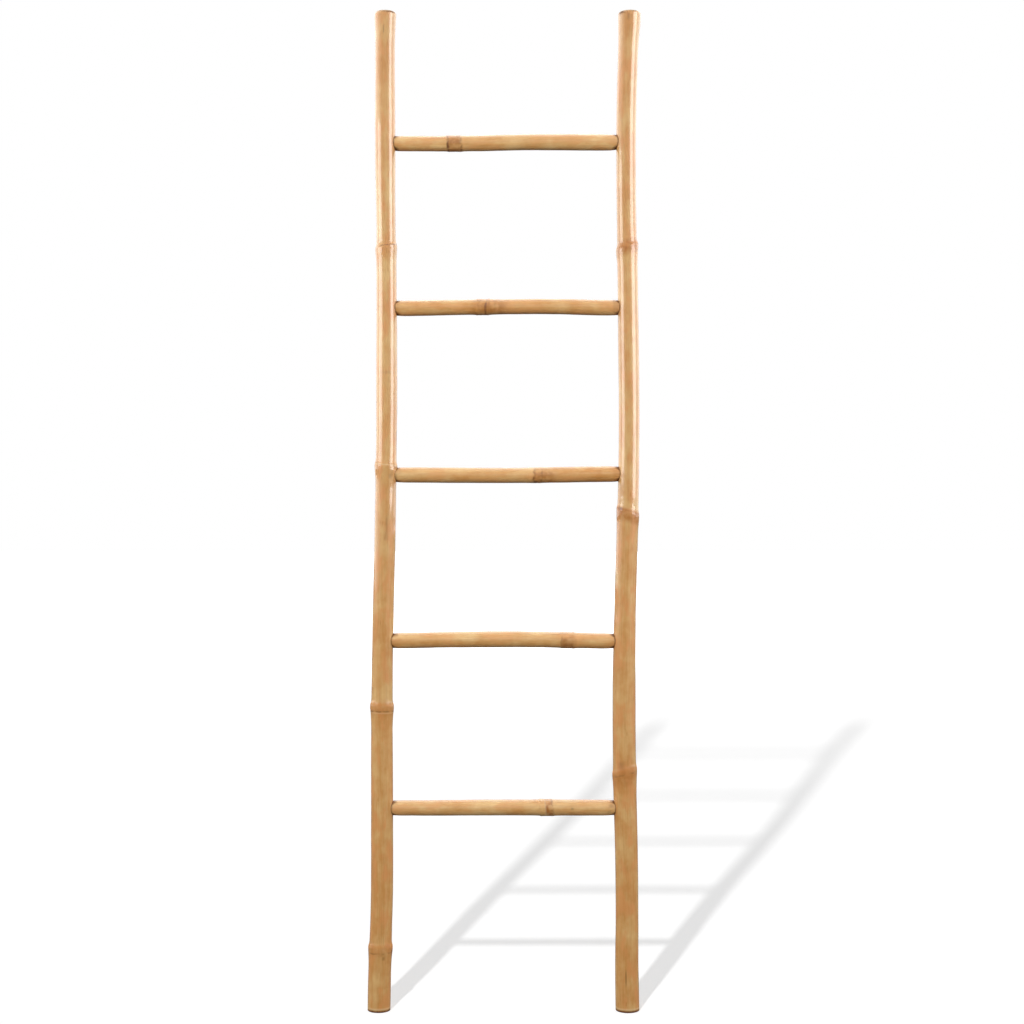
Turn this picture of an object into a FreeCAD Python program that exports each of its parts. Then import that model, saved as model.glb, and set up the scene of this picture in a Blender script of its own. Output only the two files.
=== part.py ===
import FreeCAD, Part
import math
import os
from collections import namedtuple

from FreeCAD import Vector

# A bamboo blanket ladder: two upright culms, five rungs let into sockets drilled in them, and a
# split-bamboo peg through each rung end, driven in from behind.
# Millimetres. +Z is up, +X is to the right seen from the front, and the front faces -Y. The origin is on
# the floor, midway between the outer sides of the rails.

# ---- Driving dimensions -------------------------------------------------------------------------------
TOTAL_HEIGHT = 1500.0
RAIL_SPACING = 366.0             # between the two straight lines that the rails wander about
FIRST_RUNG_HEIGHT = 304.0        # floor to the axis of the lowest rung
HEAD_LENGTH = 196.0              # axis of the highest rung to the rail tops
RUNG_COUNT = 5

RAIL_FOOT_DIAMETER = 34.5        # a culm tapers from its foot to its head
RAIL_HEAD_DIAMETER = 30.2
RAIL_WALL = 5.0
DIAPHRAGM_THICKNESS = 4.0        # the natural wall across a culm at each of its joints
DIAPHRAGM_DROP = 4.0             # its middle lies this far below the joint's upper lip
FOOT_EASE = 0.8                  # sanded edge round the cut foot
HEAD_ROUNDING = 4.5              # radius of the rounded edge round the cut head

RUNG_DIAMETER = 23.6
RUNG_WALL = 4.0
RUNG_SETBACK = 2.0               # the rungs' axes lie this far behind the rails' own
TENON_SHAVE = 1.2                # taken off the rung's radius where it enters the rail
SHAVE_RAMP = 5.0                 # length over which the shave runs out
SHOULDER_STANDOFF = 0.5          # the shave starts this far outside the rail
TENON_REACH = 5.0                # the tenon ends this far past the rail's axis
TENON_EASE = 0.8
SOCKET_CLEARANCE = 0.1           # glue line round the tenon, on the radius
SOCKET_END_GAP = 0.3             # glue pocket beyond the tenon's end

PEG_DIAMETER = 4.0
PEG_CLEARANCE = 0.03             # on the radius
PEG_SETBACK = 2.0                # the peg stands this far off the rail's axis, towards the rung
PEG_SKIN = 2.0                   # wall left uncut in front of the peg's tip
PEG_PROUD = 0.4                  # the peg's head stands this far out of the rail's back
PEG_EASE = 0.5

RING_PITCH = 30.0                # spacing of the sections that a culm is built through

# ---- The culms' natural shape -------------------------------------------------------------------------
# Bends: (height, offset along X) and (height, offset along Y) from the rail's straight reference line.
LEFT_BENDS = ((0, -5.5), (90, -3.5), (180, -1.0), (460, -1.0), (580, 0.5), (690, 3.0), (820, 5.2),
              (920, 6.0), (1146, 5.4), (1250, 4.0), (1440, 3.6), (1500, 4.0))
LEFT_SWAY = ((0, 0.0), (91, 0.0), (451, -1.0), (819, 0.5), (1146, 1.0), (1500, 0.0))
RIGHT_BENDS = ((0, 2.0), (60, 0.9), (140, 1.4), (250, 0.2), (359, -2.5), (530, -2.8), (640, -0.5),
               (750, 2.8), (870, 4.5), (940, 4.3), (1090, 2.5), (1146, 2.0), (1184, 0.6), (1330, 0.0),
               (1437, 2.8), (1500, 5.1))
RIGHT_SWAY = ((0, 0.0), (359, 0.0), (750, 1.0), (1146, -1.0), (1500, 0.0))

# Girths: (height, difference in diameter) from the culm's even taper.
LEFT_GIRTHS = ((0, -0.2), (75, 0.0), (125, -1.2), (180, -0.7), (390, -0.6), (463, -1.3), (631, -1.1),
               (760, -0.6), (829, -1.4), (920, 0.1), (1016, -0.2), (1076, -0.9), (1133, -0.5),
               (1165, -2.3), (1220, -1.7), (1280, 0.2), (1437, -0.5), (1480, 0.0))
RIGHT_GIRTHS = ((0, 1.3), (54, 1.0), (138, 0.0), (258, 0.6), (318, 1.3), (378, 1.4), (535, 1.0),
                (607, -0.5), (679, 0.0), (762, -0.4), (871, -0.9), (1000, -0.1), (1088, -0.7),
                (1124, -0.3), (1170, -1.5), (1256, -1.1), (1328, -0.6), (1437, 0.2), (1480, 0.9))

# Joints of a culm, each with the place of its upper lip, the diameter that it adds, and the tilt of its
# ring in degrees, positive where the ring rises towards +X.
Joint = namedtuple("Joint", "place swell tilt")
LEFT_JOINTS = (Joint(98.0, 3.4, 0.0), Joint(460.0, 3.9, -1.0), Joint(820.0, 3.7, -5.0),
               Joint(1148.0, 3.9, 7.0))
RIGHT_JOINTS = (Joint(361.5, 2.6, 14.0), Joint(750.0, 2.4, -17.0), Joint(1148.0, 3.7, 15.0))
LEFT_HEAD_DROP = 2.0             # a rail is cut just above one more joint: rail top to that joint's lip
LEFT_HEAD_SWELL = 3.3
RIGHT_HEAD_DROP = 10.0
RIGHT_HEAD_SWELL = 3.5

# Form of a rail's joint: (distance above its upper lip, share of the swell, share of the tilt).
RAIL_JOINT_FORM = ((22.0, 0.0, 0.0), (9.0, 0.03, 0.6), (2.5, 0.15, 1.0), (0.5, 0.9, 1.0),
                   (-1.0, 1.0, 1.0), (-3.5, 0.86, 1.0), (-8.0, 0.95, 1.0), (-10.0, 0.8, 1.0),
                   (-15.0, 0.5, 0.8), (-24.0, 0.22, 0.4), (-38.0, 0.0, 0.0))

# Each rung from the lowest up: how far it sits off the even pitch, (distance from the ladder's middle,
# rise above that height), (distance from the middle, difference in diameter), and its one joint.
Rung = namedtuple("Rung", "off_pitch rises girths joint")
RUNGS = (
    Rung(0.0, ((-150, -0.4), (-95, -0.4), (-40, 0.1), (40, 0.2), (150, -0.1)),
         ((-150, -0.6), (-95, -0.4), (-40, 0.0), (20, 0.2), (110, 0.4), (150, 0.0)),
         Joint(64.0, 1.8, -6.0)),
    Rung(2.0, ((-150, -0.9), (-115, 0.1), (-80, 0.5), (0, 1.3), (55, 0.8), (95, 0.0), (150, -1.4)),
         ((-150, 0.0), (-80, 0.0), (-15, 1.0), (50, 0.1), (120, 0.0), (150, -0.3)),
         Joint(96.0, 1.3, 0.0)),
    Rung(0.5, ((-150, 0.0), (-85, -0.3), (5, -0.8), (60, -0.3), (125, 1.0), (150, 1.3)),
         ((-150, -0.3), (-80, -0.2), (5, -0.6), (80, 0.2), (150, 0.3)),
         Joint(47.0, 0.7, 4.0)),
    Rung(2.5, ((-150, -1.3), (-95, -0.3), (-65, 0.2), (10, 1.1), (65, 1.4), (105, 0.8), (150, -0.6)),
         ((-150, 0.0), (-95, -0.3), (5, -0.6), (70, -0.5), (110, 0.2), (150, -0.2)),
         Joint(-31.0, 1.8, 3.0)),
    Rung(0.0, ((-150, -0.9), (-95, -1.2), (-60, -1.1), (-15, 0.0), (25, 0.9), (75, 1.1), (150, 0.6)),
         ((-150, -0.6), (-95, -0.6), (-30, 0.1), (40, 0.3), (130, 1.1), (150, 0.4)),
         Joint(-75.0, 1.6, -5.0)),
)

# Form of a rung's joint: (distance from its middle, share of the swell, share of the tilt).
RUNG_JOINT_FORM = ((-22.0, 0.0, 0.0), (-13.0, 0.25, 0.8), (-10.5, 0.9, 1.0), (-9.0, 1.0, 1.0),
                   (-6.5, 0.75, 1.0), (4.5, 0.8, 1.0), (7.0, 1.0, 1.0), (8.5, 0.85, 1.0),
                   (12.0, 0.3, 0.8), (22.0, 0.0, 0.0))

# ---- Worked out from the above ------------------------------------------------------------------------
RUNG_PITCH = (TOTAL_HEIGHT - HEAD_LENGTH - FIRST_RUNG_HEIGHT) / (RUNG_COUNT - 1)
TENON_RADIUS = RUNG_DIAMETER / 2 - TENON_SHAVE
SOCKET_RADIUS = TENON_RADIUS + SOCKET_CLEARANCE
OVERRUN = 1.0                    # a cut starts this far outside the face that it opens

UP = Vector(0, 0, 1)
RIGHT = Vector(1, 0, 0)
BACK = Vector(0, 1, 0)

# One cross-section of a pole: its middle, its radius, and the rise of its plane per unit sideways.
Section = namedtuple("Section", "middle radius slope")


def smooth_value(points, distance):
    """Return the value at a distance on a smooth curve through (distance, value) points.

    The curve is level past its first and last points.
    """
    if distance <= points[0][0]:
        return points[0][1]
    if distance >= points[-1][0]:
        return points[-1][1]

    def slope(index):
        if index in (0, len(points) - 1):
            return 0.0
        before, after = points[index - 1], points[index + 1]
        return (after[1] - before[1]) / (after[0] - before[0])

    first = max(index for index, point in enumerate(points) if point[0] <= distance)
    (start, low), (end, high) = points[first], points[first + 1]
    span = end - start
    t = (distance - start) / span
    return ((2 * t**3 - 3 * t**2 + 1) * low + (t**3 - 2 * t**2 + t) * span * slope(first)
            + (3 * t**2 - 2 * t**3) * high + (t**3 - t**2) * span * slope(first + 1))


def joint_shares(form, offset):
    """Return the shares of swell and of tilt at an offset from a joint, between the form's points."""
    rows = sorted(form)
    if not rows[0][0] < offset < rows[-1][0]:
        return 0.0, 0.0
    upper = next(index for index, row in enumerate(rows) if row[0] >= offset)
    below, above = rows[upper - 1], rows[upper]
    t = (offset - below[0]) / (above[0] - below[0])
    return tuple(below[column] + t * (above[column] - below[column]) for column in (1, 2))


def stations(start, end, joints, form):
    """Return where a pole's sections lie: evenly along it, and on every point of its joints' form."""
    marks = [start, end]
    reach_low, reach_high = min(form)[0], max(form)[0]
    count = max(1, round((end - start) / RING_PITCH))
    for index in range(1, count):
        mark = start + (end - start) * index / count
        if not any(joint.place + reach_low < mark < joint.place + reach_high for joint in joints):
            marks.append(mark)
    for joint in joints:
        marks += [joint.place + row[0] for row in form if start < joint.place + row[0] < end]
    return sorted(set(marks))


def pole(sections, along, sideways):
    """Return the solid through a row of sections, which lie along one axis."""
    across = along.cross(sideways)
    wires = []
    for section in sections:
        stretch = math.hypot(1, section.slope)
        ellipse = Part.Ellipse(section.middle, section.radius * stretch, section.radius)
        longways = (sideways + along * section.slope) / stretch
        ellipse.Axis = longways.cross(across)
        ellipse.XAxis = longways
        wires.append(Part.Wire(ellipse.toShape()))
    return Part.makeLoft(wires, True, True)


def largest_solid(shape):
    """Return the piece itself out of the compound that a cut gives."""
    return max(shape.Solids, key=lambda solid: solid.Volume)


class Rail:
    """An upright culm: closed at its head, open at its foot, hollow between its joints."""

    def __init__(self, side, bends, sway, girths, joints, head_drop, head_swell):
        self.side = side
        self.bends = bends
        self.sway = sway
        self.girths = girths
        self.head = Joint(TOTAL_HEIGHT - head_drop, head_swell, 0.0)
        highest = self.head.place - max(RAIL_JOINT_FORM)[0] + min(RAIL_JOINT_FORM)[0]
        self.joints = [joint for joint in joints if joint.place < highest]

    def middle(self, height):
        """Return the culm's middle at a height."""
        reference = self.side * RAIL_SPACING / 2
        return Vector(reference + smooth_value(self.bends, height), smooth_value(self.sway, height), height)

    def internode_radius(self, height):
        """Return the culm's outer radius at a height, without the swelling at its joints."""
        taper = RAIL_FOOT_DIAMETER + (RAIL_HEAD_DIAMETER - RAIL_FOOT_DIAMETER) * height / TOTAL_HEIGHT
        return (taper + smooth_value(self.girths, height)) / 2

    def section(self, height):
        """Return the culm's outer section at a height."""
        radius = self.internode_radius(height)
        slope = 0.0
        for joint in self.joints:
            swell, tilt = joint_shares(RAIL_JOINT_FORM, height - joint.place)
            radius += joint.swell * swell / 2
            slope += math.tan(math.radians(joint.tilt)) * tilt
        head_swell = joint_shares(RAIL_JOINT_FORM, height - self.head.place)[0]
        if height >= self.head.place:
            head_swell = 1.0
        return Section(self.middle(height), radius + self.head.swell * head_swell / 2, slope)

    def body(self):
        """Return the culm as a solid bar with an eased foot and a rounded head."""
        rounding_start = TOTAL_HEIGHT - HEAD_ROUNDING
        marks = stations(FOOT_EASE, rounding_start, self.joints + [self.head], RAIL_JOINT_FORM)
        sections = [self.section(height) for height in marks]
        foot, head = sections[0], sections[-1]
        foot_middle = self.middle(0.0)
        sections.insert(0, Section(foot_middle, foot.radius - FOOT_EASE, 0.0))
        for degrees in (30, 60, 90):
            angle = math.radians(degrees)
            height = rounding_start + HEAD_ROUNDING * math.sin(angle)
            radius = head.radius - HEAD_ROUNDING * (1 - math.cos(angle))
            sections.append(Section(self.middle(height), radius, 0.0))
        return pole(sections, UP, RIGHT)

    def hollows(self):
        """Return the hollow of each internode, the lowest of them open at the foot."""
        centres = [joint.place - DIAPHRAGM_DROP for joint in self.joints + [self.head]]
        floors = [-OVERRUN] + [centre + DIAPHRAGM_THICKNESS / 2 for centre in centres[:-1]]
        ceilings = [centre - DIAPHRAGM_THICKNESS / 2 for centre in centres]
        spaces = []
        for floor, ceiling in zip(floors, ceilings):
            marks = stations(floor, ceiling, [], RAIL_JOINT_FORM)
            sections = [Section(self.middle(height), self.internode_radius(height) - RAIL_WALL, 0.0)
                        for height in marks]
            spaces.append(pole(sections, UP, RIGHT))
        return spaces

    def socket(self, rung):
        """Return the blind hole that a rung's end fits."""
        axis = rung.end_axis(self)
        inward = RIGHT * -self.side
        depth = TENON_REACH + SOCKET_END_GAP
        mouth = self.section(axis.z).radius + OVERRUN
        return Part.makeCylinder(SOCKET_RADIUS, depth + mouth, axis - inward * depth, inward)

    def peg_axis(self, rung):
        """Return the point on a peg's axis that is level with the rail's own axis."""
        return self.middle(rung.end_axis(self).z) - RIGHT * (self.side * PEG_SETBACK)

    def peg_ends(self, rung):
        """Return a peg's tip and the place where it leaves the rail's back."""
        axis = self.peg_axis(rung)
        radius = self.section(axis.z).radius
        tip = axis - BACK * (radius - PEG_SKIN)
        back = axis + BACK * math.sqrt(radius**2 - PEG_SETBACK**2)
        return tip, back

    def peg_hole(self, rung):
        """Return the hole that a peg is driven into, through the rail's back and the tenon."""
        tip, back = self.peg_ends(rung)
        length = (back - tip).Length + OVERRUN
        return Part.makeCylinder(PEG_DIAMETER / 2 + PEG_CLEARANCE, length, tip, BACK)

    def peg(self, rung):
        """Return one peg, with its tip and its head eased."""
        tip, back = self.peg_ends(rung)
        head = back + BACK * PEG_PROUD
        radius = PEG_DIAMETER / 2
        sections = [Section(tip, radius - PEG_EASE, 0.0), Section(tip + BACK * PEG_EASE, radius, 0.0),
                    Section(head - BACK * PEG_EASE, radius, 0.0), Section(head, radius - PEG_EASE, 0.0)]
        return pole(sections, BACK, RIGHT)

    def solid(self, rungs):
        """Return the finished rail, hollowed, with its sockets and peg holes drilled."""
        cuts = self.hollows()
        for rung in rungs:
            cuts += [self.socket(rung), self.peg_hole(rung)]
        return largest_solid(self.body().cut(cuts))


class CrossBar:
    """A rung: a thin culm along X with a shaved tenon at each end, hollow each side of its joint."""

    def __init__(self, shape, height, left, right):
        self.shape = shape
        self.height = height
        self.left = left
        self.right = right
        self.left_axis = self.end_axis(left)
        self.right_axis = self.end_axis(right)
        self.start = self.left_axis.x - TENON_REACH
        self.end = self.right_axis.x + TENON_REACH
        standoffs = [rail.section(axis.z).radius + SHOULDER_STANDOFF
                     for rail, axis in ((left, self.left_axis), (right, self.right_axis))]
        self.left_shoulder = self.left_axis.x + standoffs[0]
        self.right_shoulder = self.right_axis.x - standoffs[1]

    def end_axis(self, rail):
        """Return the point on the rung's axis that is straight behind a rail's own axis."""
        rises = self.shape.rises
        height = self.height + (rises[0] if rail.side < 0 else rises[-1])[1]
        return rail.middle(height) + BACK * RUNG_SETBACK

    def middle(self, x):
        """Return the rung's middle: level and straight in both tenons, bent between them."""
        share = (x - self.left_shoulder) / (self.right_shoulder - self.left_shoulder)
        share = min(1.0, max(0.0, share))
        depth = self.left_axis.y + (self.right_axis.y - self.left_axis.y) * share
        if x <= self.left_shoulder:
            return Vector(x, depth, self.left_axis.z)
        if x >= self.right_shoulder:
            return Vector(x, depth, self.right_axis.z)
        return Vector(x, depth, self.height + smooth_value(self.shape.rises, x))

    def internode_radius(self, x):
        """Return the culm's radius before it is shaved, without the swelling at its joint."""
        return (RUNG_DIAMETER + smooth_value(self.shape.girths, x)) / 2

    def smooth_radius(self, x):
        """Return the rung's radius without its joint: full between the shoulders, shaved in the tenons."""
        inside = min(x - self.left_shoulder, self.right_shoulder - x)
        share = min(1.0, max(0.0, inside / SHAVE_RAMP))
        return TENON_RADIUS + (self.internode_radius(x) - TENON_RADIUS) * share

    def section(self, x):
        """Return the rung's outer section at a place along X."""
        joint = self.shape.joint
        swell, tilt = joint_shares(RUNG_JOINT_FORM, x - joint.place)
        slope = math.tan(math.radians(joint.tilt)) * tilt
        return Section(self.middle(x), self.smooth_radius(x) + joint.swell * swell / 2, slope)

    def body(self):
        """Return the rung as a solid bar with eased tenons."""
        marks = [self.start + TENON_EASE]
        marks += stations(self.left_shoulder, self.right_shoulder, [self.shape.joint], RUNG_JOINT_FORM)
        marks += [self.left_shoulder + SHAVE_RAMP, self.right_shoulder - SHAVE_RAMP]
        marks.append(self.end - TENON_EASE)
        sections = [self.section(x) for x in sorted(set(marks))]
        eased = TENON_RADIUS - TENON_EASE
        sections.insert(0, Section(self.middle(self.start), eased, 0.0))
        sections.append(Section(self.middle(self.end), eased, 0.0))
        return pole(sections, RIGHT, UP)

    def hollows(self):
        """Return the hollow each side of the rung's joint, open at the tenons' ends."""
        place = self.shape.joint.place
        spans = ((self.start - OVERRUN, place - DIAPHRAGM_THICKNESS / 2),
                 (place + DIAPHRAGM_THICKNESS / 2, self.end + OVERRUN))
        spaces = []
        for start, end in spans:
            marks = stations(start, end, [], RUNG_JOINT_FORM)
            sections = [Section(self.middle(x), self.internode_radius(x) - RUNG_WALL, 0.0) for x in marks]
            spaces.append(pole(sections, RIGHT, UP))
        return spaces

    def solid(self):
        """Return the finished rung, hollowed and drilled for its two pegs."""
        cuts = self.hollows() + [self.left.peg_hole(self), self.right.peg_hole(self)]
        return largest_solid(self.body().cut(cuts))


def export(node, shape):
    """Write one piece as its own STEP file, and print how large and how sound it is."""
    shape.exportStep("parts/" + node + ".step")
    print("%-12s %9.1f mm3, %3d faces, valid %s" % (node, shape.Volume, len(shape.Faces), shape.isValid()))


def main():
    """Build and write every piece of the ladder."""
    os.makedirs("parts", exist_ok=True)
    left = Rail(-1, LEFT_BENDS, LEFT_SWAY, LEFT_GIRTHS, LEFT_JOINTS, LEFT_HEAD_DROP, LEFT_HEAD_SWELL)
    right = Rail(1, RIGHT_BENDS, RIGHT_SWAY, RIGHT_GIRTHS, RIGHT_JOINTS, RIGHT_HEAD_DROP,
                 RIGHT_HEAD_SWELL)
    rungs = []
    for index in range(RUNG_COUNT):
        shape = RUNGS[index % len(RUNGS)]
        height = FIRST_RUNG_HEIGHT + index * RUNG_PITCH + shape.off_pitch
        rungs.append(CrossBar(shape, height, left, right))

    export("left_rail", left.solid(rungs))
    export("right_rail", right.solid(rungs))
    for number, rung in enumerate(rungs, 1):
        export("rung_%d" % number, rung.solid())
        export("peg_left_%d" % number, left.peg(rung))
        export("peg_right_%d" % number, right.peg(rung))


main()
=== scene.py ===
"""The looks of a bamboo blanket ladder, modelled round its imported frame.

Lengths are metres and angles are degrees. +Z is up, +X is to the right seen from the front, and the front
faces -Y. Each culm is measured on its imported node, and its finer shape is modelled over that.
"""
import logging
import math
from collections.abc import Mapping
from dataclasses import dataclass, field
from enum import Enum

import bmesh
import bpy
import numpy as np
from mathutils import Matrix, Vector
from mathutils.bvhtree import BVHTree


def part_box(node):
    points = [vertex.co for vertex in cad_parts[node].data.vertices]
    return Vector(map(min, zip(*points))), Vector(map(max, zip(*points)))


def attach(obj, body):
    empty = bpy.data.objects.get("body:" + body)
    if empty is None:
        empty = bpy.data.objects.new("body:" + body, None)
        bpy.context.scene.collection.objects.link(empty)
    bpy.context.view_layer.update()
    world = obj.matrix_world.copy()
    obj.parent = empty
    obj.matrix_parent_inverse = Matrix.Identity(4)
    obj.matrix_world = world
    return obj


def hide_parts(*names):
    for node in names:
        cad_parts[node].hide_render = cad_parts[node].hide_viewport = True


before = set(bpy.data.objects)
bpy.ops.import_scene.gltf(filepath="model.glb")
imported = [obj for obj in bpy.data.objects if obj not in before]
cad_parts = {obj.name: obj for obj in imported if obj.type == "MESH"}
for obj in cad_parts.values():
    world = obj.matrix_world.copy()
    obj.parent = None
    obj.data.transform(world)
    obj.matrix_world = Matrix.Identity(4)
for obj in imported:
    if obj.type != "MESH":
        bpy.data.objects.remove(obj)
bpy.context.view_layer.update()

BODY = "root"
RUNG_NUMBERS = range(1, 6)
MM = 0.001

Colour = tuple[float, float, float, float]
Feed = float | tuple[float, ...] | bpy.types.NodeSocket
Sockets = Mapping[str, bpy.types.NodeSocket]
Profile = tuple[tuple[float, ...], ...]


def paint(red: int, green: int, blue: int) -> Colour:
    """Turn a colour as a screen shows it into the linear one that a shader takes.

    Args:
        red: Its red, from 0 to 255.
        green: Its green.
        blue: Its blue.

    Returns:
        The linear colour, with an alpha of 1.
    """
    shares = [level / 255 for level in (red, green, blue)]
    linear = [share / 12.92 if share <= 0.04045 else ((share + 0.055) / 1.055) ** 2.4 for share in shares]
    return linear[0], linear[1], linear[2], 1.0


WHITE = paint(255, 255, 255)


class Slot(Enum):
    """The record's material slots."""

    RAIL = "rail_bamboo"
    RUNG = "rung_bamboo"
    PEG = "peg_bamboo"


class Side(Enum):
    """A rail's side of the ladder, as the sign of X."""

    LEFT = -1
    RIGHT = 1


class Lie(Enum):
    """How a culm lies: the axis along it, and the axis sideways across it. The depth is always Y."""

    UPRIGHT = (2, 0)
    LEVEL = (0, 2)


# ---- Modelling moves ----------------------------------------------------------------------------------

class Bench:
    """The modelling moves that every piece shares."""

    @staticmethod
    def clear() -> None:
        """Leave edit mode and deselect everything, so that the next operator acts on new work alone."""
        if bpy.context.mode != "OBJECT":
            bpy.ops.object.mode_set(mode="OBJECT")
        bpy.ops.object.select_all(action="DESELECT")

    @staticmethod
    def take_up(piece: bpy.types.Object) -> None:
        """Select one object alone and make it the active one."""
        Bench.clear()
        piece.select_set(True)
        bpy.context.view_layer.objects.active = piece

    @staticmethod
    def apply(piece: bpy.types.Object, kind: str, **settings: object) -> None:
        """Add a modifier to a piece and apply it.

        Args:
            piece: The object to change.
            kind: Blender's name for the modifier's type.
            settings: The modifier's own settings.
        """
        Bench.take_up(piece)
        modifier = piece.modifiers.new(kind.lower(), kind)
        for name, value in settings.items():
            setattr(modifier, name, value)
        bpy.ops.object.modifier_apply(modifier=modifier.name)

    @staticmethod
    def settle(piece: bpy.types.Object) -> None:
        """Put a piece's place and turn into its mesh."""
        Bench.take_up(piece)
        bpy.ops.object.transform_apply(location=True, rotation=True, scale=True)

    @staticmethod
    def rod(name: str, radius: float, ends: tuple[Vector, Vector], sides: int) -> bpy.types.Object:
        """Add a plain round bar, for use as a drill.

        Args:
            name: The object's name.
            radius: The bar's radius.
            ends: The middles of its two ends.
            sides: How many sides it has.

        Returns:
            The bar, with its place in its mesh.
        """
        Bench.clear()
        axis = ends[1] - ends[0]
        bpy.ops.mesh.primitive_cylinder_add(
            vertices=sides, radius=radius, depth=axis.length, location=(ends[0] + ends[1]) / 2,
            rotation=axis.to_track_quat("Z", "Y").to_euler())
        bar = bpy.context.object
        bar.name = name
        Bench.settle(bar)
        return bar

    @staticmethod
    def drill(piece: bpy.types.Object, bars: list[bpy.types.Object]) -> None:
        """Cut the shape of each bar out of a piece, and clear the bars away.

        Args:
            piece: The object to drill.
            bars: The drills, two or more, which don't meet one another.
        """
        Bench.take_up(bars[0])
        for bar in bars[1:]:
            bar.select_set(True)
        bpy.ops.object.join()
        Bench.apply(piece, "BOOLEAN", operation="DIFFERENCE", object=bars[0], solver="MANIFOLD")
        bpy.data.objects.remove(bars[0])

    @staticmethod
    def pick(piece: bpy.types.Object, numbers: range | list[int]) -> None:
        """Select some vertices of a piece that is in edit mode, and nothing else.

        Args:
            piece: The object.
            numbers: The vertices' numbers.
        """
        bpy.ops.mesh.select_all(action="DESELECT")
        mesh = bmesh.from_edit_mesh(piece.data)
        mesh.verts.ensure_lookup_table()
        for number in numbers:
            mesh.verts[number].select = True
        bmesh.update_edit_mesh(piece.data)

    @staticmethod
    def dress(piece: bpy.types.Object, material: bpy.types.Material, slot: Slot, node: str,
              crease: float) -> None:
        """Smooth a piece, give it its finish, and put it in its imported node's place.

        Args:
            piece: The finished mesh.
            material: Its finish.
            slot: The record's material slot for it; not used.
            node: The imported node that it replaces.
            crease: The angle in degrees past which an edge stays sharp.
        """
        Bench.take_up(piece)
        bpy.ops.object.shade_smooth_by_angle(angle=math.radians(crease))
        piece.data.materials.clear()
        piece.data.materials.append(material)
        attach(piece, BODY)
        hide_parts(node)


@dataclass(frozen=True)
class Ring:
    """One ring of a pole's cage.

    Args:
        middle: The ring's middle.
        radius: Its radius.
        tilt: How far its plane leans, in degrees, positive where the +X or +Z side stands further along.
    """

    middle: Vector
    radius: float
    tilt: float = 0.0


@dataclass(frozen=True)
class Cage:
    """A round pole's cage, made ring by ring and then smoothed.

    Args:
        name: The name of the object.
        lie: How the pole lies.
        sides: How many sides the cage has.
        levels: How often it is subdivided.
    """

    name: str
    lie: Lie
    sides: int
    levels: int

    def model(self, rings: list[Ring]) -> bpy.types.Object:
        """Extrude the cage through its rings, lean the tilted ones, and smooth it.

        Args:
            rings: The rings in order, the first and last of them closed.

        Returns:
            The smoothed pole.
        """
        # Smoothing draws each ring in to this share of its radius, so the cage is made that much wider.
        shrink = (2 + math.cos(2 * math.pi / self.sides)) / 3
        turn = (0.0, 0.0, 0.0) if self.lie is Lie.UPRIGHT else (0.0, math.pi / 2, 0.0)
        Bench.clear()
        bpy.ops.mesh.primitive_circle_add(
            vertices=self.sides, radius=rings[0].radius / shrink, fill_type="NGON",
            location=rings[0].middle, rotation=turn)
        pole = bpy.context.object
        pole.name = self.name
        Bench.settle(pole)
        bpy.ops.object.mode_set(mode="EDIT")
        bpy.ops.mesh.select_all(action="SELECT")
        for before, ring in zip(rings, rings[1:]):
            bpy.ops.mesh.extrude_region_move(
                TRANSFORM_OT_translate={"value": ring.middle - before.middle})
            growth = ring.radius / before.radius
            bpy.ops.transform.resize(value=(growth,) * 3, center_override=ring.middle)
        self.lean(pole, rings)
        bpy.ops.mesh.select_all(action="SELECT")
        bpy.ops.mesh.normals_make_consistent(inside=False)
        bpy.ops.object.mode_set(mode="OBJECT")
        Bench.apply(pole, "SUBSURF", levels=self.levels, render_levels=self.levels)
        return pole

    def lean(self, pole: bpy.types.Object, rings: list[Ring]) -> None:
        """Lean each tilted ring about its own middle, stretched so that the pole stays as wide.

        With no window, the rotate operator turns the left-handed way about Y.

        Args:
            pole: The cage, in edit mode.
            rings: The rings it was made through.
        """
        hand = 1 if self.lie is Lie.UPRIGHT else -1
        for number, ring in enumerate(rings):
            if ring.tilt == 0.0:
                continue
            Bench.pick(pole, range(number * self.sides, (number + 1) * self.sides))
            angle = math.radians(ring.tilt)
            stretch = [1.0, 1.0, 1.0]
            stretch[self.lie.value[1]] = 1 / math.cos(angle)
            bpy.ops.transform.resize(value=stretch, center_override=ring.middle)
            bpy.ops.transform.rotate(value=hand * angle, orient_axis="Y", center_override=ring.middle)


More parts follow.
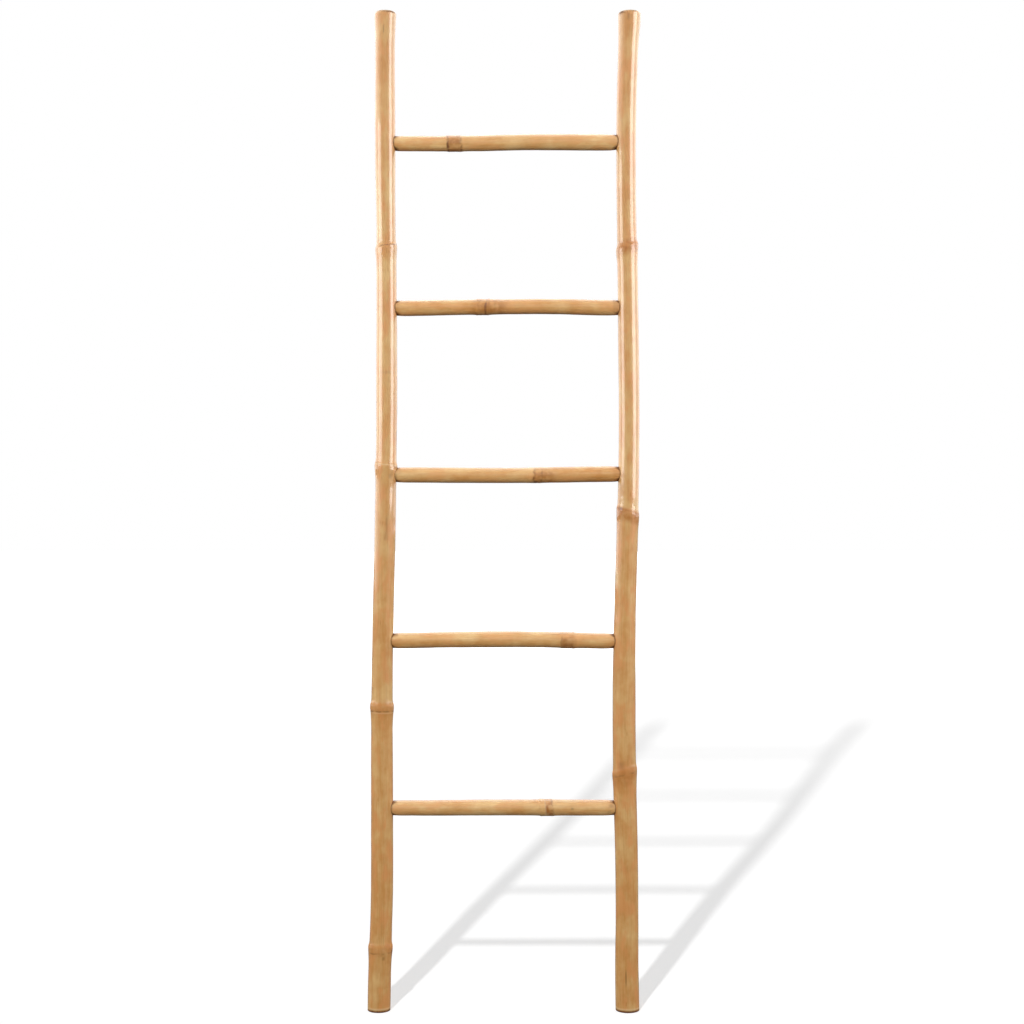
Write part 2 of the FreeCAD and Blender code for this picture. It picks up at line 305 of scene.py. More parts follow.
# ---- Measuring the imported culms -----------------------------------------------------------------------

class Gauge:
    """Finds the middle and the radius of a packed culm with rays cast at its outside."""

    REACH = 0.2

    def __init__(self, node: str, lie: Lie) -> None:
        """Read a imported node.

        Args:
            node: The node's name.
            lie: How the culm lies.
        """
        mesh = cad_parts[node].data
        corners = [vertex.co for vertex in mesh.vertices]
        faces = [face.vertices for face in mesh.polygons]
        self.tree = BVHTree.FromPolygons(corners, faces)
        self.along, self.sideways = lie.value
        low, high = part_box(node)
        self.start, self.end = low[self.along], high[self.along]
        self.centre = (low + high) / 2

    def point(self, place: float, sideways: float, depth: float) -> Vector:
        """Return a point in the ladder's frame.

        Args:
            place: How far along the culm it is.
            sideways: How far sideways.
            depth: How far back.

        Returns:
            The point.
        """
        spot = Vector((0.0, depth, 0.0))
        spot[self.along] = place
        spot[self.sideways] = sideways
        return spot

    def section(self, place: float, bearings: tuple[float, ...]) -> tuple[float, float, float]:
        """Fit a circle to the culm's outside at a place along it.

        Args:
            place: Where along the culm.
            bearings: The directions to measure from, in degrees from the front.

        Returns:
            The circle's middle, sideways and in depth, and its radius.
        """
        rows, squares = [], []
        for bearing in bearings:
            angle = math.radians(bearing)
            outward = self.point(0.0, math.sin(angle), -math.cos(angle))
            target = self.point(place, self.centre[self.sideways], self.centre.y)
            hit = self.tree.ray_cast(target + outward * self.REACH, -outward)[0]
            if hit is not None:
                sideways, depth = hit[self.sideways], hit.y
                rows.append((2 * sideways, 2 * depth, 1.0))
                squares.append(sideways ** 2 + depth ** 2)
        sideways, depth, rest = np.linalg.lstsq(np.array(rows), np.array(squares), rcond=None)[0]
        return float(sideways), float(depth), math.sqrt(rest + sideways ** 2 + depth ** 2)


# ---- Node sheets --------------------------------------------------------------------------------------

class Sheet:
    """Adds and wires the nodes of one tree."""

    # The nodes stand in columns of this many rows, this far apart.
    ROWS = 6
    COLUMN = 190

    def __init__(self, tree: bpy.types.NodeTree) -> None:
        """Start on a tree, which is emptied first."""
        self.tree = tree
        tree.nodes.clear()

    def add(self, kind: str, feeds: dict[str | int, Feed] | None = None,
            **settings: object) -> bpy.types.Node:
        """Add a node and feed its inputs.

        Args:
            kind: The node's type.
            feeds: What goes into each input, by its name or number.
            settings: The node's own settings.

        Returns:
            The node.
        """
        node = self.tree.nodes.new(kind)
        count = len(self.tree.nodes)
        node.location = (self.COLUMN * (count // self.ROWS), -self.COLUMN * (count % self.ROWS))
        for name, value in settings.items():
            setattr(node, name, value)
        for key, feed in (feeds or {}).items():
            socket = node.inputs[key]
            if isinstance(feed, bpy.types.NodeSocket):
                self.tree.links.new(feed, socket)
            else:
                socket.default_value = feed
        return node

    def attribute(self, name: str, output: str = "Fac") -> Feed:
        """Return what one of the mesh's attributes says, as a value or as a vector."""
        return self.add("ShaderNodeAttribute", attribute_name=name).outputs[output]

    def math(self, operation: str, first: Feed, second: Feed = 0.0, clamp: bool = False) -> Feed:
        """Return the result of a sum on one or two values."""
        node = self.add("ShaderNodeMath", {0: first, 1: second}, operation=operation, use_clamp=clamp)
        return node.outputs[0]

    def plus(self, first: Feed, second: Feed, clamp: bool = False) -> Feed:
        """Return the first value with the second added."""
        return self.math("ADD", first, second, clamp)

    def minus(self, first: Feed, second: Feed) -> Feed:
        """Return the first value with the second taken off."""
        return self.math("SUBTRACT", first, second)

    def times(self, first: Feed, second: Feed, clamp: bool = False) -> Feed:
        """Return the first value multiplied by the second."""
        return self.math("MULTIPLY", first, second, clamp)

    def most(self, first: Feed, second: Feed) -> Feed:
        """Return the higher of two values."""
        return self.math("MAXIMUM", first, second)

    def swing(self, value: Feed, amount: Feed) -> Feed:
        """Return a value from 0 to 1 as a swing about 0, of a given amount in all."""
        return self.times(self.minus(value, 0.5), amount)

    def ease(self, value: Feed, start: Feed, end: Feed) -> Feed:
        """Return a smooth step from 0 at start to 1 at end, which may be the lower of the two."""
        node = self.add("ShaderNodeMapRange", {0: value, 1: start, 2: end, 3: 0.0, 4: 1.0},
                        interpolation_type="SMOOTHSTEP")
        return node.outputs[0]

    def mix(self, share: Feed, first: Feed, second: Feed) -> Feed:
        """Return a mix of two colours, the second by its share."""
        return self.add("ShaderNodeMix", {0: share, 6: first, 7: second}, data_type="RGBA").outputs[2]

    def blend(self, share: Feed, first: Feed, second: Feed) -> Feed:
        """Return a mix of two values, the second by its share."""
        return self.add("ShaderNodeMix", {0: share, 2: first, 3: second}, data_type="FLOAT").outputs[0]

    def stretch(self, cane: Feed, across: Feed, along: Feed) -> Feed:
        """Return a place on the cane, multiplied by one factor across it and by another along it."""
        factors = self.add("ShaderNodeCombineXYZ", {0: across, 1: across, 2: along}).outputs[0]
        return self.add("ShaderNodeVectorMath", {0: cane, 1: factors}, operation="MULTIPLY").outputs[0]

    def distance(self, place: Feed, spot: tuple[float, float, float]) -> Feed:
        """Return how far a place is from a fixed spot."""
        node = self.add("ShaderNodeVectorMath", {0: place, 1: spot}, operation="DISTANCE")
        return node.outputs["Value"]

    def emission(self, strength: Feed) -> Feed:
        """Return a shader that gives off white light."""
        return self.add("ShaderNodeEmission", {"Color": WHITE, "Strength": strength}).outputs[0]

    def noise(self, place: Feed, scale: float, detail: float, roughness: float = 0.5) -> Feed:
        """Return soft noise, from 0 to 1."""
        feeds = {"Vector": place, "Scale": scale, "Detail": detail, "Roughness": roughness}
        return self.add("ShaderNodeTexNoise", feeds).outputs[0]

    def group(self, tree: bpy.types.NodeTree, feeds: dict[str | int, Feed]) -> bpy.types.Node:
        """Place a node group and feed its inputs."""
        return self.add("ShaderNodeGroup", feeds, node_tree=tree)


class Fibre(Enum):
    """A size of fibre streaks: their width and their length, and how strongly they stand out."""

    FINE = (0.8 * MM, 45 * MM, 2.2)
    MIDDLING = (2.6 * MM, 120 * MM, 2.0)
    BROAD = (8 * MM, 80 * MM, 2.0)
    PATCHES = (26 * MM, 36 * MM, 2.4)
    WARM = (17 * MM, 42 * MM, 2.6)
    SPLIT = (0.5 * MM, 12 * MM, 2.4)


class Effects:
    """The node groups that the bamboo finishes share."""

    # The noise that breaks up the marks at a joint: its scale, and the grain's across and along the cane.
    WANDER = 120.0
    GRAIN = (220.0, 70.0)
    # The brown about a joint: where the noise turns to blotches, the grain's share, and the even share.
    BLOT_EDGE = (0.36, 0.66)
    GRAIN_SHARE = 0.45
    EVEN_SHARE = 0.56
    # A scar's line: how far it strays and how thick its core is, both in widths, and where it breaks off.
    STRAY = 1.8
    CORE = 0.2
    BREAK_EDGE = (0.45, 0.78)
    RING_STRENGTH = 0.8
    # Flecks and fibre bundles: how many times longer than wide they are, and their soft edge.
    FLECK_LENGTH, FLECK_EDGE = 5.0, (0.42, 0.12)
    DOT_LENGTH, DOT_EDGE = 12.5, (0.45, 0.2)

    def __init__(self) -> None:
        """Build each group once."""
        self.fibre = self.build_fibre()
        self.joint_marks = self.build_joint_marks()
        self.specks = self.build_specks()
        self.end_grain = self.build_end_grain()

    @staticmethod
    def open_group(name: str, inputs: tuple[str, ...], outputs: tuple[str, ...]) -> tuple[Sheet, Sockets]:
        """Make an empty group, whose first input is a place on the cane.

        Args:
            name: The group's name.
            inputs: The names of its other inputs, all of them plain values.
            outputs: The names of its outputs, all of them plain values.

        Returns:
            The sheet to fill, and the group's inputs by name.
        """
        tree = bpy.data.node_groups.new(name, "ShaderNodeTree")
        tree.interface.new_socket("Cane", in_out="INPUT", socket_type="NodeSocketVector")
        for way, names in (("INPUT", inputs), ("OUTPUT", outputs)):
            for socket in names:
                tree.interface.new_socket(socket, in_out=way, socket_type="NodeSocketFloat")
        sheet = Sheet(tree)
        return sheet, sheet.add("NodeGroupInput").outputs

    def build_fibre(self) -> bpy.types.NodeTree:
        """Wire streaks that run along the cane.

        Returns:
            The group, which puts out the streaks from 0 to 1.
        """
        sheet, inputs = self.open_group("cane_fibre", ("Width", "Length", "Contrast"), ("Streaks",))
        across = sheet.math("DIVIDE", 1.0, inputs["Width"])
        along = sheet.math("DIVIDE", 1.0, inputs["Length"])
        noise = sheet.noise(sheet.stretch(inputs["Cane"], across, along), 1.0, 3.0, 0.6)
        streaks = sheet.plus(sheet.swing(noise, inputs["Contrast"]), 0.5, clamp=True)
        sheet.add("NodeGroupOutput", {"Streaks": streaks})
        return sheet.tree

    def build_joint_marks(self) -> bpy.types.NodeTree:
        """Wire the marks at a joint: the patchy brown about it, and the dark lines of scar and ring.

        Returns:
            The group, which puts out the brown and the lines, each from 0 to 1.
        """
        sheet, inputs = self.open_group(
            "joint_marks",
            ("From Scar", "From Ring", "Scar Strength", "Scar Width", "Bloom Strength", "Blotches"),
            ("Bloom", "Scar"))
        wander = sheet.noise(inputs["Cane"], self.WANDER, 1.5)
        grain = sheet.noise(sheet.stretch(inputs["Cane"], *self.GRAIN), 1.0, 2.0)
        blots = sheet.times(sheet.ease(wander, *self.BLOT_EDGE), inputs["Blotches"])
        uneven = sheet.plus(blots, sheet.times(grain, self.GRAIN_SHARE))
        even = sheet.minus(self.EVEN_SHARE, sheet.times(inputs["Blotches"], 0.5))
        bloom = sheet.times(inputs["Bloom Strength"], sheet.plus(uneven, even), clamp=True)

        width = inputs["Scar Width"]
        drift = sheet.swing(wander, sheet.times(width, self.STRAY))
        core = sheet.times(width, self.CORE)
        scar, ring = (sheet.ease(sheet.math("ABSOLUTE", sheet.plus(inputs[name], drift)), width, core)
                      for name in ("From Scar", "From Ring"))
        broken = sheet.ease(sheet.plus(wander, sheet.times(grain, 0.3)), *self.BREAK_EDGE)
        both = sheet.times(sheet.most(scar, sheet.times(ring, self.RING_STRENGTH)), broken)
        strength = sheet.times(both, inputs["Scar Strength"], clamp=True)
        sheet.add("NodeGroupOutput", {"Bloom": bloom, "Scar": strength})
        return sheet.tree

    @staticmethod
    def cells(sheet: Sheet, inputs: Sockets, drawn_out: float, randomness: float) -> Sockets:
        """Split the cane into cells of the group's size.

        Args:
            sheet: The group's sheet.
            inputs: The group's inputs, Cane and Size among them.
            drawn_out: How many times longer than wide a cell is.
            randomness: How far the cells stray from a plain grid, from 0 to 1.

        Returns:
            The cells' outputs by name.
        """
        across = sheet.math("DIVIDE", 1.0, inputs["Size"])
        place = sheet.stretch(inputs["Cane"], across, sheet.math("DIVIDE", across, drawn_out))
        feeds = {"Vector": place, "Scale": 1.0, "Randomness": randomness}
        return sheet.add("ShaderNodeTexVoronoi", feeds).outputs

    def build_specks(self) -> bpy.types.NodeTree:
        """Wire sparse brown flecks drawn out along the cane.

        Returns:
            The group, which puts out the flecks from 0 to 1.
        """
        sheet, inputs = self.open_group("cane_specks", ("Size", "Share"), ("Specks",))
        cells = self.cells(sheet, inputs, self.FLECK_LENGTH, 1.0)
        fleck = sheet.ease(cells["Distance"], *self.FLECK_EDGE)
        gate = sheet.math("LESS_THAN", cells["Color"], inputs["Share"])
        sheet.add("NodeGroupOutput", {"Specks": sheet.times(fleck, gate)})
        return sheet.tree

    def build_end_grain(self) -> bpy.types.NodeTree:
        """Wire the dark dots of the fibre bundles in cut cane.

        Returns:
            The group, which puts out the dots from 0 to 1.
        """
        sheet, inputs = self.open_group("end_grain", ("Size",), ("Dots",))
        cells = self.cells(sheet, inputs, self.DOT_LENGTH, 0.8)
        sheet.add("NodeGroupOutput", {"Dots": sheet.ease(cells["Distance"], *self.DOT_EDGE)})
        return sheet.tree

    def streaks(self, sheet: Sheet, cane: Feed, fibre: Fibre) -> Feed:
        """Place the fibre group on a material's sheet.

        Args:
            sheet: The material's sheet.
            cane: The place on the cane.
            fibre: The size of the streaks.

        Returns:
            The streaks, from 0 to 1.
        """
        width, length, contrast = fibre.value
        feeds = {"Cane": cane, "Width": width, "Length": length, "Contrast": contrast}
        return sheet.group(self.fibre, feeds).outputs["Streaks"]


# ---- Finishes -----------------------------------------------------------------------------------------

@dataclass(frozen=True)
class Finish:
    """A finish of bamboo, of which each kind wires its own shader.

    Args:
        name: The material's name.
    """

    name: str

    def shade(self, sheet: Sheet, effects: Effects) -> Feed:
        """Wire the finish's nodes, and return its shader."""
        raise NotImplementedError

    def build(self, effects: Effects) -> bpy.types.Material:
        """Build the material.

        Args:
            effects: The shared node groups.

        Returns:
            The finished material.
        """
        material = bpy.data.materials.new(self.name)
        material.use_nodes = True
        sheet = Sheet(material.node_tree)
        sheet.add("ShaderNodeOutputMaterial", {0: self.shade(sheet, effects)})
        return material


@dataclass(frozen=True)
class BambooSkin(Finish):
    """Varnished bamboo, which reads the attributes that a culm paints on its mesh.

    Args:
        pale: The colour of pale straw.
        deep: The colour of the deeper, riper stretches.
        blush: The colour of the warmer patches.
        streak: The colour of the fibre streaks.
        bloom: The brown about a joint.
        scar: The dark line of a scar.
        wax: The pale band at a joint, a waxy band that is partly a painted highlight where it sits on a
            lip, also used for the pale line painted round the foot.
        stain_and_shade: The brown of glue and dust about a socket and of other marks, also used for painted
            shade at the foot, in the corners where pieces meet and along the heads' top edges.
        cane: The colour of cut cane.
        cane_dots: The colour of the fibre bundles in cut cane.
        scar_width: How far a scar's dark line reaches each way.
        blotches: How much the brown about a joint comes and goes.
        roughness: The roughness under the varnish.
        varnish: How much varnish there is.
        varnish_roughness: The roughness of the varnish.
    """

    pale: Colour
    deep: Colour
    blush: Colour
    streak: Colour
    bloom: Colour
    scar: Colour
    wax: Colour
    stain_and_shade: Colour
    cane: Colour
    cane_dots: Colour
    scar_width: float
    blotches: float
    roughness: float
    varnish: float
    varnish_roughness: float

    # How much the streaks of each size swing the skin between pale and deep.
    BROAD_SWING, PATCHES_SWING, MIDDLING_SWING = 0.75, 0.9, 0.3
    # How much of each layer shows where it is strongest.
    BLUSH_SHARE, STREAK_SHARE, DULL_SHARE, SCAR_SHARE = 0.75, 0.28, 0.35, 0.85
    SPECK_SHARE, DOT_SHARE = 0.5, 0.6
    # Where the warm patches and the fine streaks start to show, and where they do in full.
    WARM_EDGE, FINE_EDGE = (0.4, 0.9), (0.5, 0.95)
    SPECK_SIZE, SPECK_COUNT, DOT_SIZE = 2.6 * MM, 0.10, 0.9 * MM
    # The least of the staining and painted shade that a streak leaves, and how much the streaks add.
    DIRT_LEAST, DIRT_STREAKS = 0.75, 0.5
    # How far the staining and painted shade dull the varnish, and how much the roughness swings and grows
    # where it is dull.
    DIRT_WEAR, ROUGH_SWING, WORN_ROUGHNESS = 0.9, 0.16, 0.3
    # The relief's height where every part of it is at its strongest, and each part's share of it.
    RELIEF_HEIGHT, RELIEF_STRENGTH = 0.35 * MM, 0.45
    FINE_RELIEF, MIDDLING_RELIEF, SCAR_RELIEF, DOT_RELIEF = 0.10, 0.25, 0.3, 0.5

    def shade(self, sheet: Sheet, effects: Effects) -> Feed:
        """Wire the skin with its marks and its varnish, and the bare cane where it is cut.

        Args:
            sheet: The material's sheet.
            effects: The shared node groups.

        Returns:
            The shader.
        """
        cane = sheet.attribute("cane", "Vector")
        cut, dull = sheet.attribute("cut"), sheet.attribute("dull")
        fine, middling, broad, patches, warm = (
            effects.streaks(sheet, cane, fibre)
            for fibre in (Fibre.FINE, Fibre.MIDDLING, Fibre.BROAD, Fibre.PATCHES, Fibre.WARM))
        marks = sheet.group(effects.joint_marks, {
            "Cane": cane, "From Scar": sheet.attribute("from_scar"),
            "From Ring": sheet.attribute("from_ring"), "Scar Strength": sheet.attribute("scar"),
            "Scar Width": self.scar_width, "Bloom Strength": sheet.attribute("bloom"),
            "Blotches": self.blotches}).outputs
        specks = sheet.group(effects.specks, {
            "Cane": cane, "Size": self.SPECK_SIZE, "Share": self.SPECK_COUNT}).outputs["Specks"]
        dots = sheet.group(effects.end_grain, {"Cane": cane, "Size": self.DOT_SIZE}).outputs["Dots"]

        ripeness = sheet.plus(sheet.attribute("tone"), sheet.swing(broad, self.BROAD_SWING))
        ripeness = sheet.plus(ripeness, sheet.swing(patches, self.PATCHES_SWING))
        ripeness = sheet.plus(ripeness, sheet.swing(middling, self.MIDDLING_SWING), clamp=True)
        # The rim's darkness and the marks: glue and other staining, with painted shade at the foot, in the
        # corners where pieces meet and along the heads' top edges.
        streaked = sheet.plus(sheet.times(middling, self.DIRT_STREAKS), self.DIRT_LEAST)
        dirt_and_shade = sheet.times(sheet.attribute("rim"), streaked, clamp=True)
        dirt_and_shade = sheet.most(dirt_and_shade, sheet.attribute("mark"))

        skin = sheet.mix(ripeness, self.pale, self.deep)
        for share, colour in (
                (sheet.times(sheet.ease(warm, *self.WARM_EDGE), self.BLUSH_SHARE), self.blush),
                (sheet.times(sheet.ease(fine, *self.FINE_EDGE), self.STREAK_SHARE), self.streak),
                (marks["Bloom"], self.bloom),
                (sheet.times(dull, self.DULL_SHARE), self.bloom),
                # Pale bands at the joints, partly a painted highlight on a lip, and the pale line round the
                # foot.
                (sheet.attribute("wax"), self.wax),
                (sheet.times(marks["Scar"], self.SCAR_SHARE), self.scar),
                (sheet.times(specks, self.SPECK_SHARE), self.bloom),
                # Staining and painted shade together.
                (dirt_and_shade, self.stain_and_shade)):
            skin = sheet.mix(share, skin, colour)
        bare = sheet.mix(sheet.times(dots, self.DOT_SHARE), self.cane, self.cane_dots)

        worn = sheet.most(sheet.most(cut, sheet.times(dirt_and_shade, self.DIRT_WEAR)), dull)
        rough = sheet.plus(self.roughness, sheet.swing(fine, self.ROUGH_SWING))
        rough = sheet.plus(rough, sheet.times(worn, self.WORN_ROUGHNESS), clamp=True)
        varnish = sheet.times(sheet.minus(1.0, worn), self.varnish, clamp=True)
        relief = sheet.times(fine, self.FINE_RELIEF)
        relief = sheet.plus(relief, sheet.times(middling, self.MIDDLING_RELIEF))
        relief = sheet.minus(relief, sheet.times(marks["Scar"], self.SCAR_RELIEF))
        relief = sheet.minus(relief, sheet.times(dots, sheet.times(cut, self.DOT_RELIEF)))
        bump = sheet.add("ShaderNodeBump", {
            "Strength": self.RELIEF_STRENGTH, "Distance": self.RELIEF_HEIGHT, "Height": relief})
        return sheet.add("ShaderNodeBsdfPrincipled", {
            "Base Color": sheet.mix(cut, skin, bare), "Roughness": rough, "Specular IOR Level": 0.35,
            "Coat Weight": varnish, "Coat Roughness": self.varnish_roughness, "Coat IOR": 1.5,
            "Normal": bump.outputs[0]}).outputs[0]


@dataclass(frozen=True)
class SplitPeg(Finish):
    """Bare split bamboo, drawn along the peg, which lies along Y.

    Args:
        pale: The colour between the fibres.
        fibre: The colour of the fibres.
        roughness: Its roughness.
    """

    pale: Colour
    fibre: Colour
    roughness: float

    DOT_SIZE = 0.6 * MM
    STREAK_SHARE, DOT_SHARE = 0.6, 0.8
    RELIEF_HEIGHT, RELIEF_STRENGTH = 0.2 * MM, 0.6
    STREAK_ROUGHNESS = 0.15

    def shade(self, sheet: Sheet, effects: Effects) -> Feed:
        """Wire the split fibres and the dots at the ends.

        Args:
            sheet: The material's sheet.
            effects: The shared node groups.

        Returns:
            The shader.
        """
        place = sheet.add("ShaderNodeTexCoord").outputs["Object"]
        lengthways = (math.pi / 2, 0.0, 0.0)
        cane = sheet.add("ShaderNodeMapping", {"Vector": place, "Rotation": lengthways}).outputs[0]
        streaks = effects.streaks(sheet, cane, Fibre.SPLIT)
        dots = sheet.group(effects.end_grain, {"Cane": cane, "Size": self.DOT_SIZE}).outputs["Dots"]
        share = sheet.most(sheet.times(streaks, self.STREAK_SHARE), sheet.times(dots, self.DOT_SHARE))
        bump = sheet.add("ShaderNodeBump", {
            "Strength": self.RELIEF_STRENGTH, "Distance": self.RELIEF_HEIGHT, "Height": share})
        return sheet.add("ShaderNodeBsdfPrincipled", {
            "Base Color": sheet.mix(share, self.pale, self.fibre),
            "Roughness": sheet.plus(self.roughness, sheet.times(streaks, self.STREAK_ROUGHNESS)),
            "Normal": bump.outputs[0]}).outputs[0]


RAIL_SKIN = BambooSkin(
    name="varnished_rail_cane", pale=paint(230, 188, 122), deep=paint(211, 149, 79),
    blush=paint(224, 154, 88), streak=paint(176, 118, 58), bloom=paint(188, 117, 46),
    scar=paint(122, 72, 32), wax=paint(240, 208, 156), stain_and_shade=paint(98, 56, 24),
    cane=paint(205, 170, 118), cane_dots=paint(140, 92, 52), scar_width=1.8 * MM, blotches=0.35,
    roughness=0.45, varnish=0.95, varnish_roughness=0.06)

RUNG_SKIN = BambooSkin(
    name="varnished_rung_cane", pale=paint(241, 198, 133), deep=paint(215, 151, 79),
    blush=paint(230, 166, 100), streak=paint(184, 124, 60), bloom=paint(172, 106, 40),
    scar=paint(128, 76, 32), wax=paint(244, 212, 160), stain_and_shade=paint(100, 56, 24),
    cane=paint(205, 170, 118), cane_dots=paint(140, 92, 52), scar_width=2.7 * MM, blotches=0.75,
    roughness=0.55, varnish=0.85, varnish_roughness=0.25)

PEG_FINISH = SplitPeg(name="bare_split_peg", pale=paint(214, 178, 124), fibre=paint(150, 100, 56),
                      roughness=0.6)


# ---- Culms --------------------------------------------------------------------------------------------

@dataclass(frozen=True)
class Joint:
    """A joint of a culm.

    Args:
        place: Where it is along the culm.
        swell: The diameter that it adds.
        tilt: How far its ring leans, in degrees, positive where the +X or +Z side stands further along.
        bloom: How brown it is, from 0 to 1.
        bloom_low: How far the brown reaches back from its place.
        bloom_high: How far the brown reaches on past its place.
        scar: How dark its scar is, from 0 to 1.
        scar_at: How far the scar is from its place.
        ring_at: How far a second dark ring is from its place, or None where it has none.
        wax: How pale its band is, from 0 to 1: a waxy band, which is partly a painted highlight where it
            sits on the lip.
        wax_and_sheen_at: How far that band is from its place.
        dull: How far the varnish is missing at its lip, from 0 to 1.
        faces: The bearing in degrees where it is marked most, or None where it is marked all round.
        bud: The bearing of its bud in degrees, or None where it shows none.
    """

    place: float
    swell: float
    tilt: float
    bloom: float = 0.5
    bloom_low: float = 20 * MM
    bloom_high: float = 3 * MM
    scar: float = 0.5
    scar_at: float = 0.0
    ring_at: float | None = None
    wax: float = 0.0
    wax_and_sheen_at: float = 0.0
    dull: float = 0.0
    faces: float | None = None
    bud: float | None = None


@dataclass(frozen=True)
class Mark:
    """A brown mark, a crack, or a spot of painted shade in a culm's skin.

    Args:
        place: Where its middle is along the culm.
        bearing: Its bearing in degrees from the front, positive towards +X on a rail, +Z on a rung.
        length: Its length along the culm.
        width: Its width round the culm.
        strength: How dark it is, from 0 to 1.
    """

    place: float
    bearing: float
    length: float
    width: float
    strength: float


@dataclass
class Culm:
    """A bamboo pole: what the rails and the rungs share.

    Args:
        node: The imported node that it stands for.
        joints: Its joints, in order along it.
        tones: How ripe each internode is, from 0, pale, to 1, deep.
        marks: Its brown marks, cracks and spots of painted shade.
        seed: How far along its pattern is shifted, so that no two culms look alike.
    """

    node: str
    joints: tuple[Joint, ...]
    tones: tuple[float, ...]
    marks: tuple[Mark, ...] = ()
    seed: float = 0.0

    lie: Lie = Lie.UPRIGHT
    slot: Slot = Slot.RAIL
    sides: int = 32
    levels: int = 2
    crease: float = 42.0
    # Form of a joint: distance from its place in millimetres, share of the swell, share of the tilt.
    joint_form: Profile = ()
    # The radius at which the finish's pattern has its own size.
    pattern_radius: float = 16 * MM
    # The waves in the skin, and the roughness of the joints, with the size of each from crest to crest.
    wave: float = 0.35 * MM
    wave_size: float = 34 * MM
    knurl: float = 0.4 * MM
    knurl_size: float = 9 * MM
    # The length at each end that has no waves, and the share of the radius past which is skin.
    plain_end: float = 6 * MM
    skin_starts: float = 0.94
    # How deep under the skin the cut cane begins, and over what depth it fades in.
    cut_depth: float = 0.7 * MM
    cut_fade: float = 0.8 * MM
    # How far from a joint its marks can reach.
    joint_reach: float = 60 * MM
    # The pale line painted round the foot: how strong it is, its height and its reach each way.
    foot_pale_line: float = 0.0
    foot_line_height: float = 4.4 * MM
    foot_line_reach: float = 0.9 * MM
    # The reach of a joint's pale band, a waxy band that is partly a painted highlight on a lip, and the
    # place and the reach of its dull lip.
    wax_and_sheen_reach: float = 1.1 * MM
    dull_at: float = 0.8 * MM
    dull_reach: float = 3.4 * MM
    # Where a joint is marked most on one side: how far round its marks reach, and the least that shows.
    side_spread: float = 0.35
    side_least: float = 0.05
    # The brown about a joint: the share of its lower reach over which it rises, how far past its upper
    # reach it ends, and the share of that reach and the length over which it falls.
    bloom_rise: float = 0.6
    bloom_past: float = 2 * MM
    bloom_fall: float = 0.4
    bloom_fade: float = 3 * MM
    # The ripeness changes between these distances below and above a joint.
    tone_below: float = 6 * MM
    tone_above: float = 2 * MM

    def measure(self) -> None:
        """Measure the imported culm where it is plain, and keep its middles and radii."""
        self.gauge = Gauge(self.node, self.lie)
        self.table = np.array([(place, *self.gauge.section(place, self.bearings(place)))
                               for place in self.plain_places()])

    def at(self, place: float | np.ndarray) -> tuple[float | np.ndarray, ...]:
        """Return the culm's middle, sideways and in depth, and its radius, at one place or at many."""
        return tuple(np.interp(place, self.table[:, 0], self.table[:, column]) for column in (1, 2, 3))

    def form(self) -> np.ndarray:
        """Return the joints' form as rows: distances in metres, shares of the swell, shares of the tilt."""
        return np.array(self.joint_form).T * [[MM], [1.0], [1.0]]

    def plain_places(self) -> list[float]:
        """Return where to measure: clear of the joints and of any hole."""
        raise NotImplementedError

    def bearings(self, place: float) -> tuple[float, ...]:
        """Return the directions in which the culm is whole at a place."""
        raise NotImplementedError

    def rings(self) -> list[Ring]:
        """Return the whole cage, from the end of one hollow to that of the other."""
        raise NotImplementedError

    def fit(self, piece: bpy.types.Object) -> None:
        """Grow what stands out of the pole, and drill what goes into it."""
        raise NotImplementedError

    def rim(self, co: np.ndarray) -> np.ndarray:
        """Return how dark each vertex is painted with glue and dust staining, and with painted shade where
        it meets other pieces or the floor, from 0 to 1.
        """
        raise NotImplementedError

    def in_joint(self, place: float) -> bool:
        """Say whether a place is within the form of one of the joints."""
        low, *_, high = self.form()[0]
        return any(joint.place + low < place < joint.place + high for joint in self.joints)

    def ring(self, place: float, radius: float | None = None) -> Ring:
        """Return the cage's ring at a place, swollen and leaning as the joints near it say.

        Args:
            place: Where along the culm.
            radius: The ring's radius, or None for the culm's own.

        Returns:
            The ring.
        """
        sideways, depth, own = self.at(place)
        offsets, swells, tilts = self.form()
        tilt = 0.0
        for joint in self.joints:
            offset = place - joint.place
            if offsets[0] < offset < offsets[-1]:
                own += joint.swell / 2 * np.interp(offset, offsets, swells)
                tilt += joint.tilt * np.interp(offset, offsets, tilts)
        return Ring(self.gauge.point(place, sideways, depth), own if radius is None else radius, tilt)

    def outside_rings(self, start: float, end: float, spacing: float) -> list[Ring]:
        """Return the rings of the skin between two places: evenly, and closely at the joints.

        Args:
            start: Where the skin starts.
            end: Where it ends.
            spacing: How far apart the rings are between the joints, about.

        Returns:
            The rings in order.
        """
        count = max(1, round((end - start) / spacing))
        places = [start + (end - start) * index / count for index in range(count + 1)]
        places = [place for place in places if not self.in_joint(place)]
        places += [joint.place + offset for joint in self.joints for offset in self.form()[0]]
        return [self.ring(place) for place in sorted(places) if start <= place <= end]

    @staticmethod
    def corners(piece: bpy.types.Object) -> np.ndarray:
        """Return a mesh's vertices as rows."""
        co = np.empty(len(piece.data.vertices) * 3, np.float32)
        piece.data.vertices.foreach_get("co", co)
        return co.reshape(-1, 3).astype(float)

    @staticmethod
    def band(offset: np.ndarray, reach: float, power: int = 4) -> np.ndarray:
        """Return 1 in the middle of a band, falling to 0 past its reach, the more sharply by its power."""
        return np.exp(-(offset / reach) ** power)

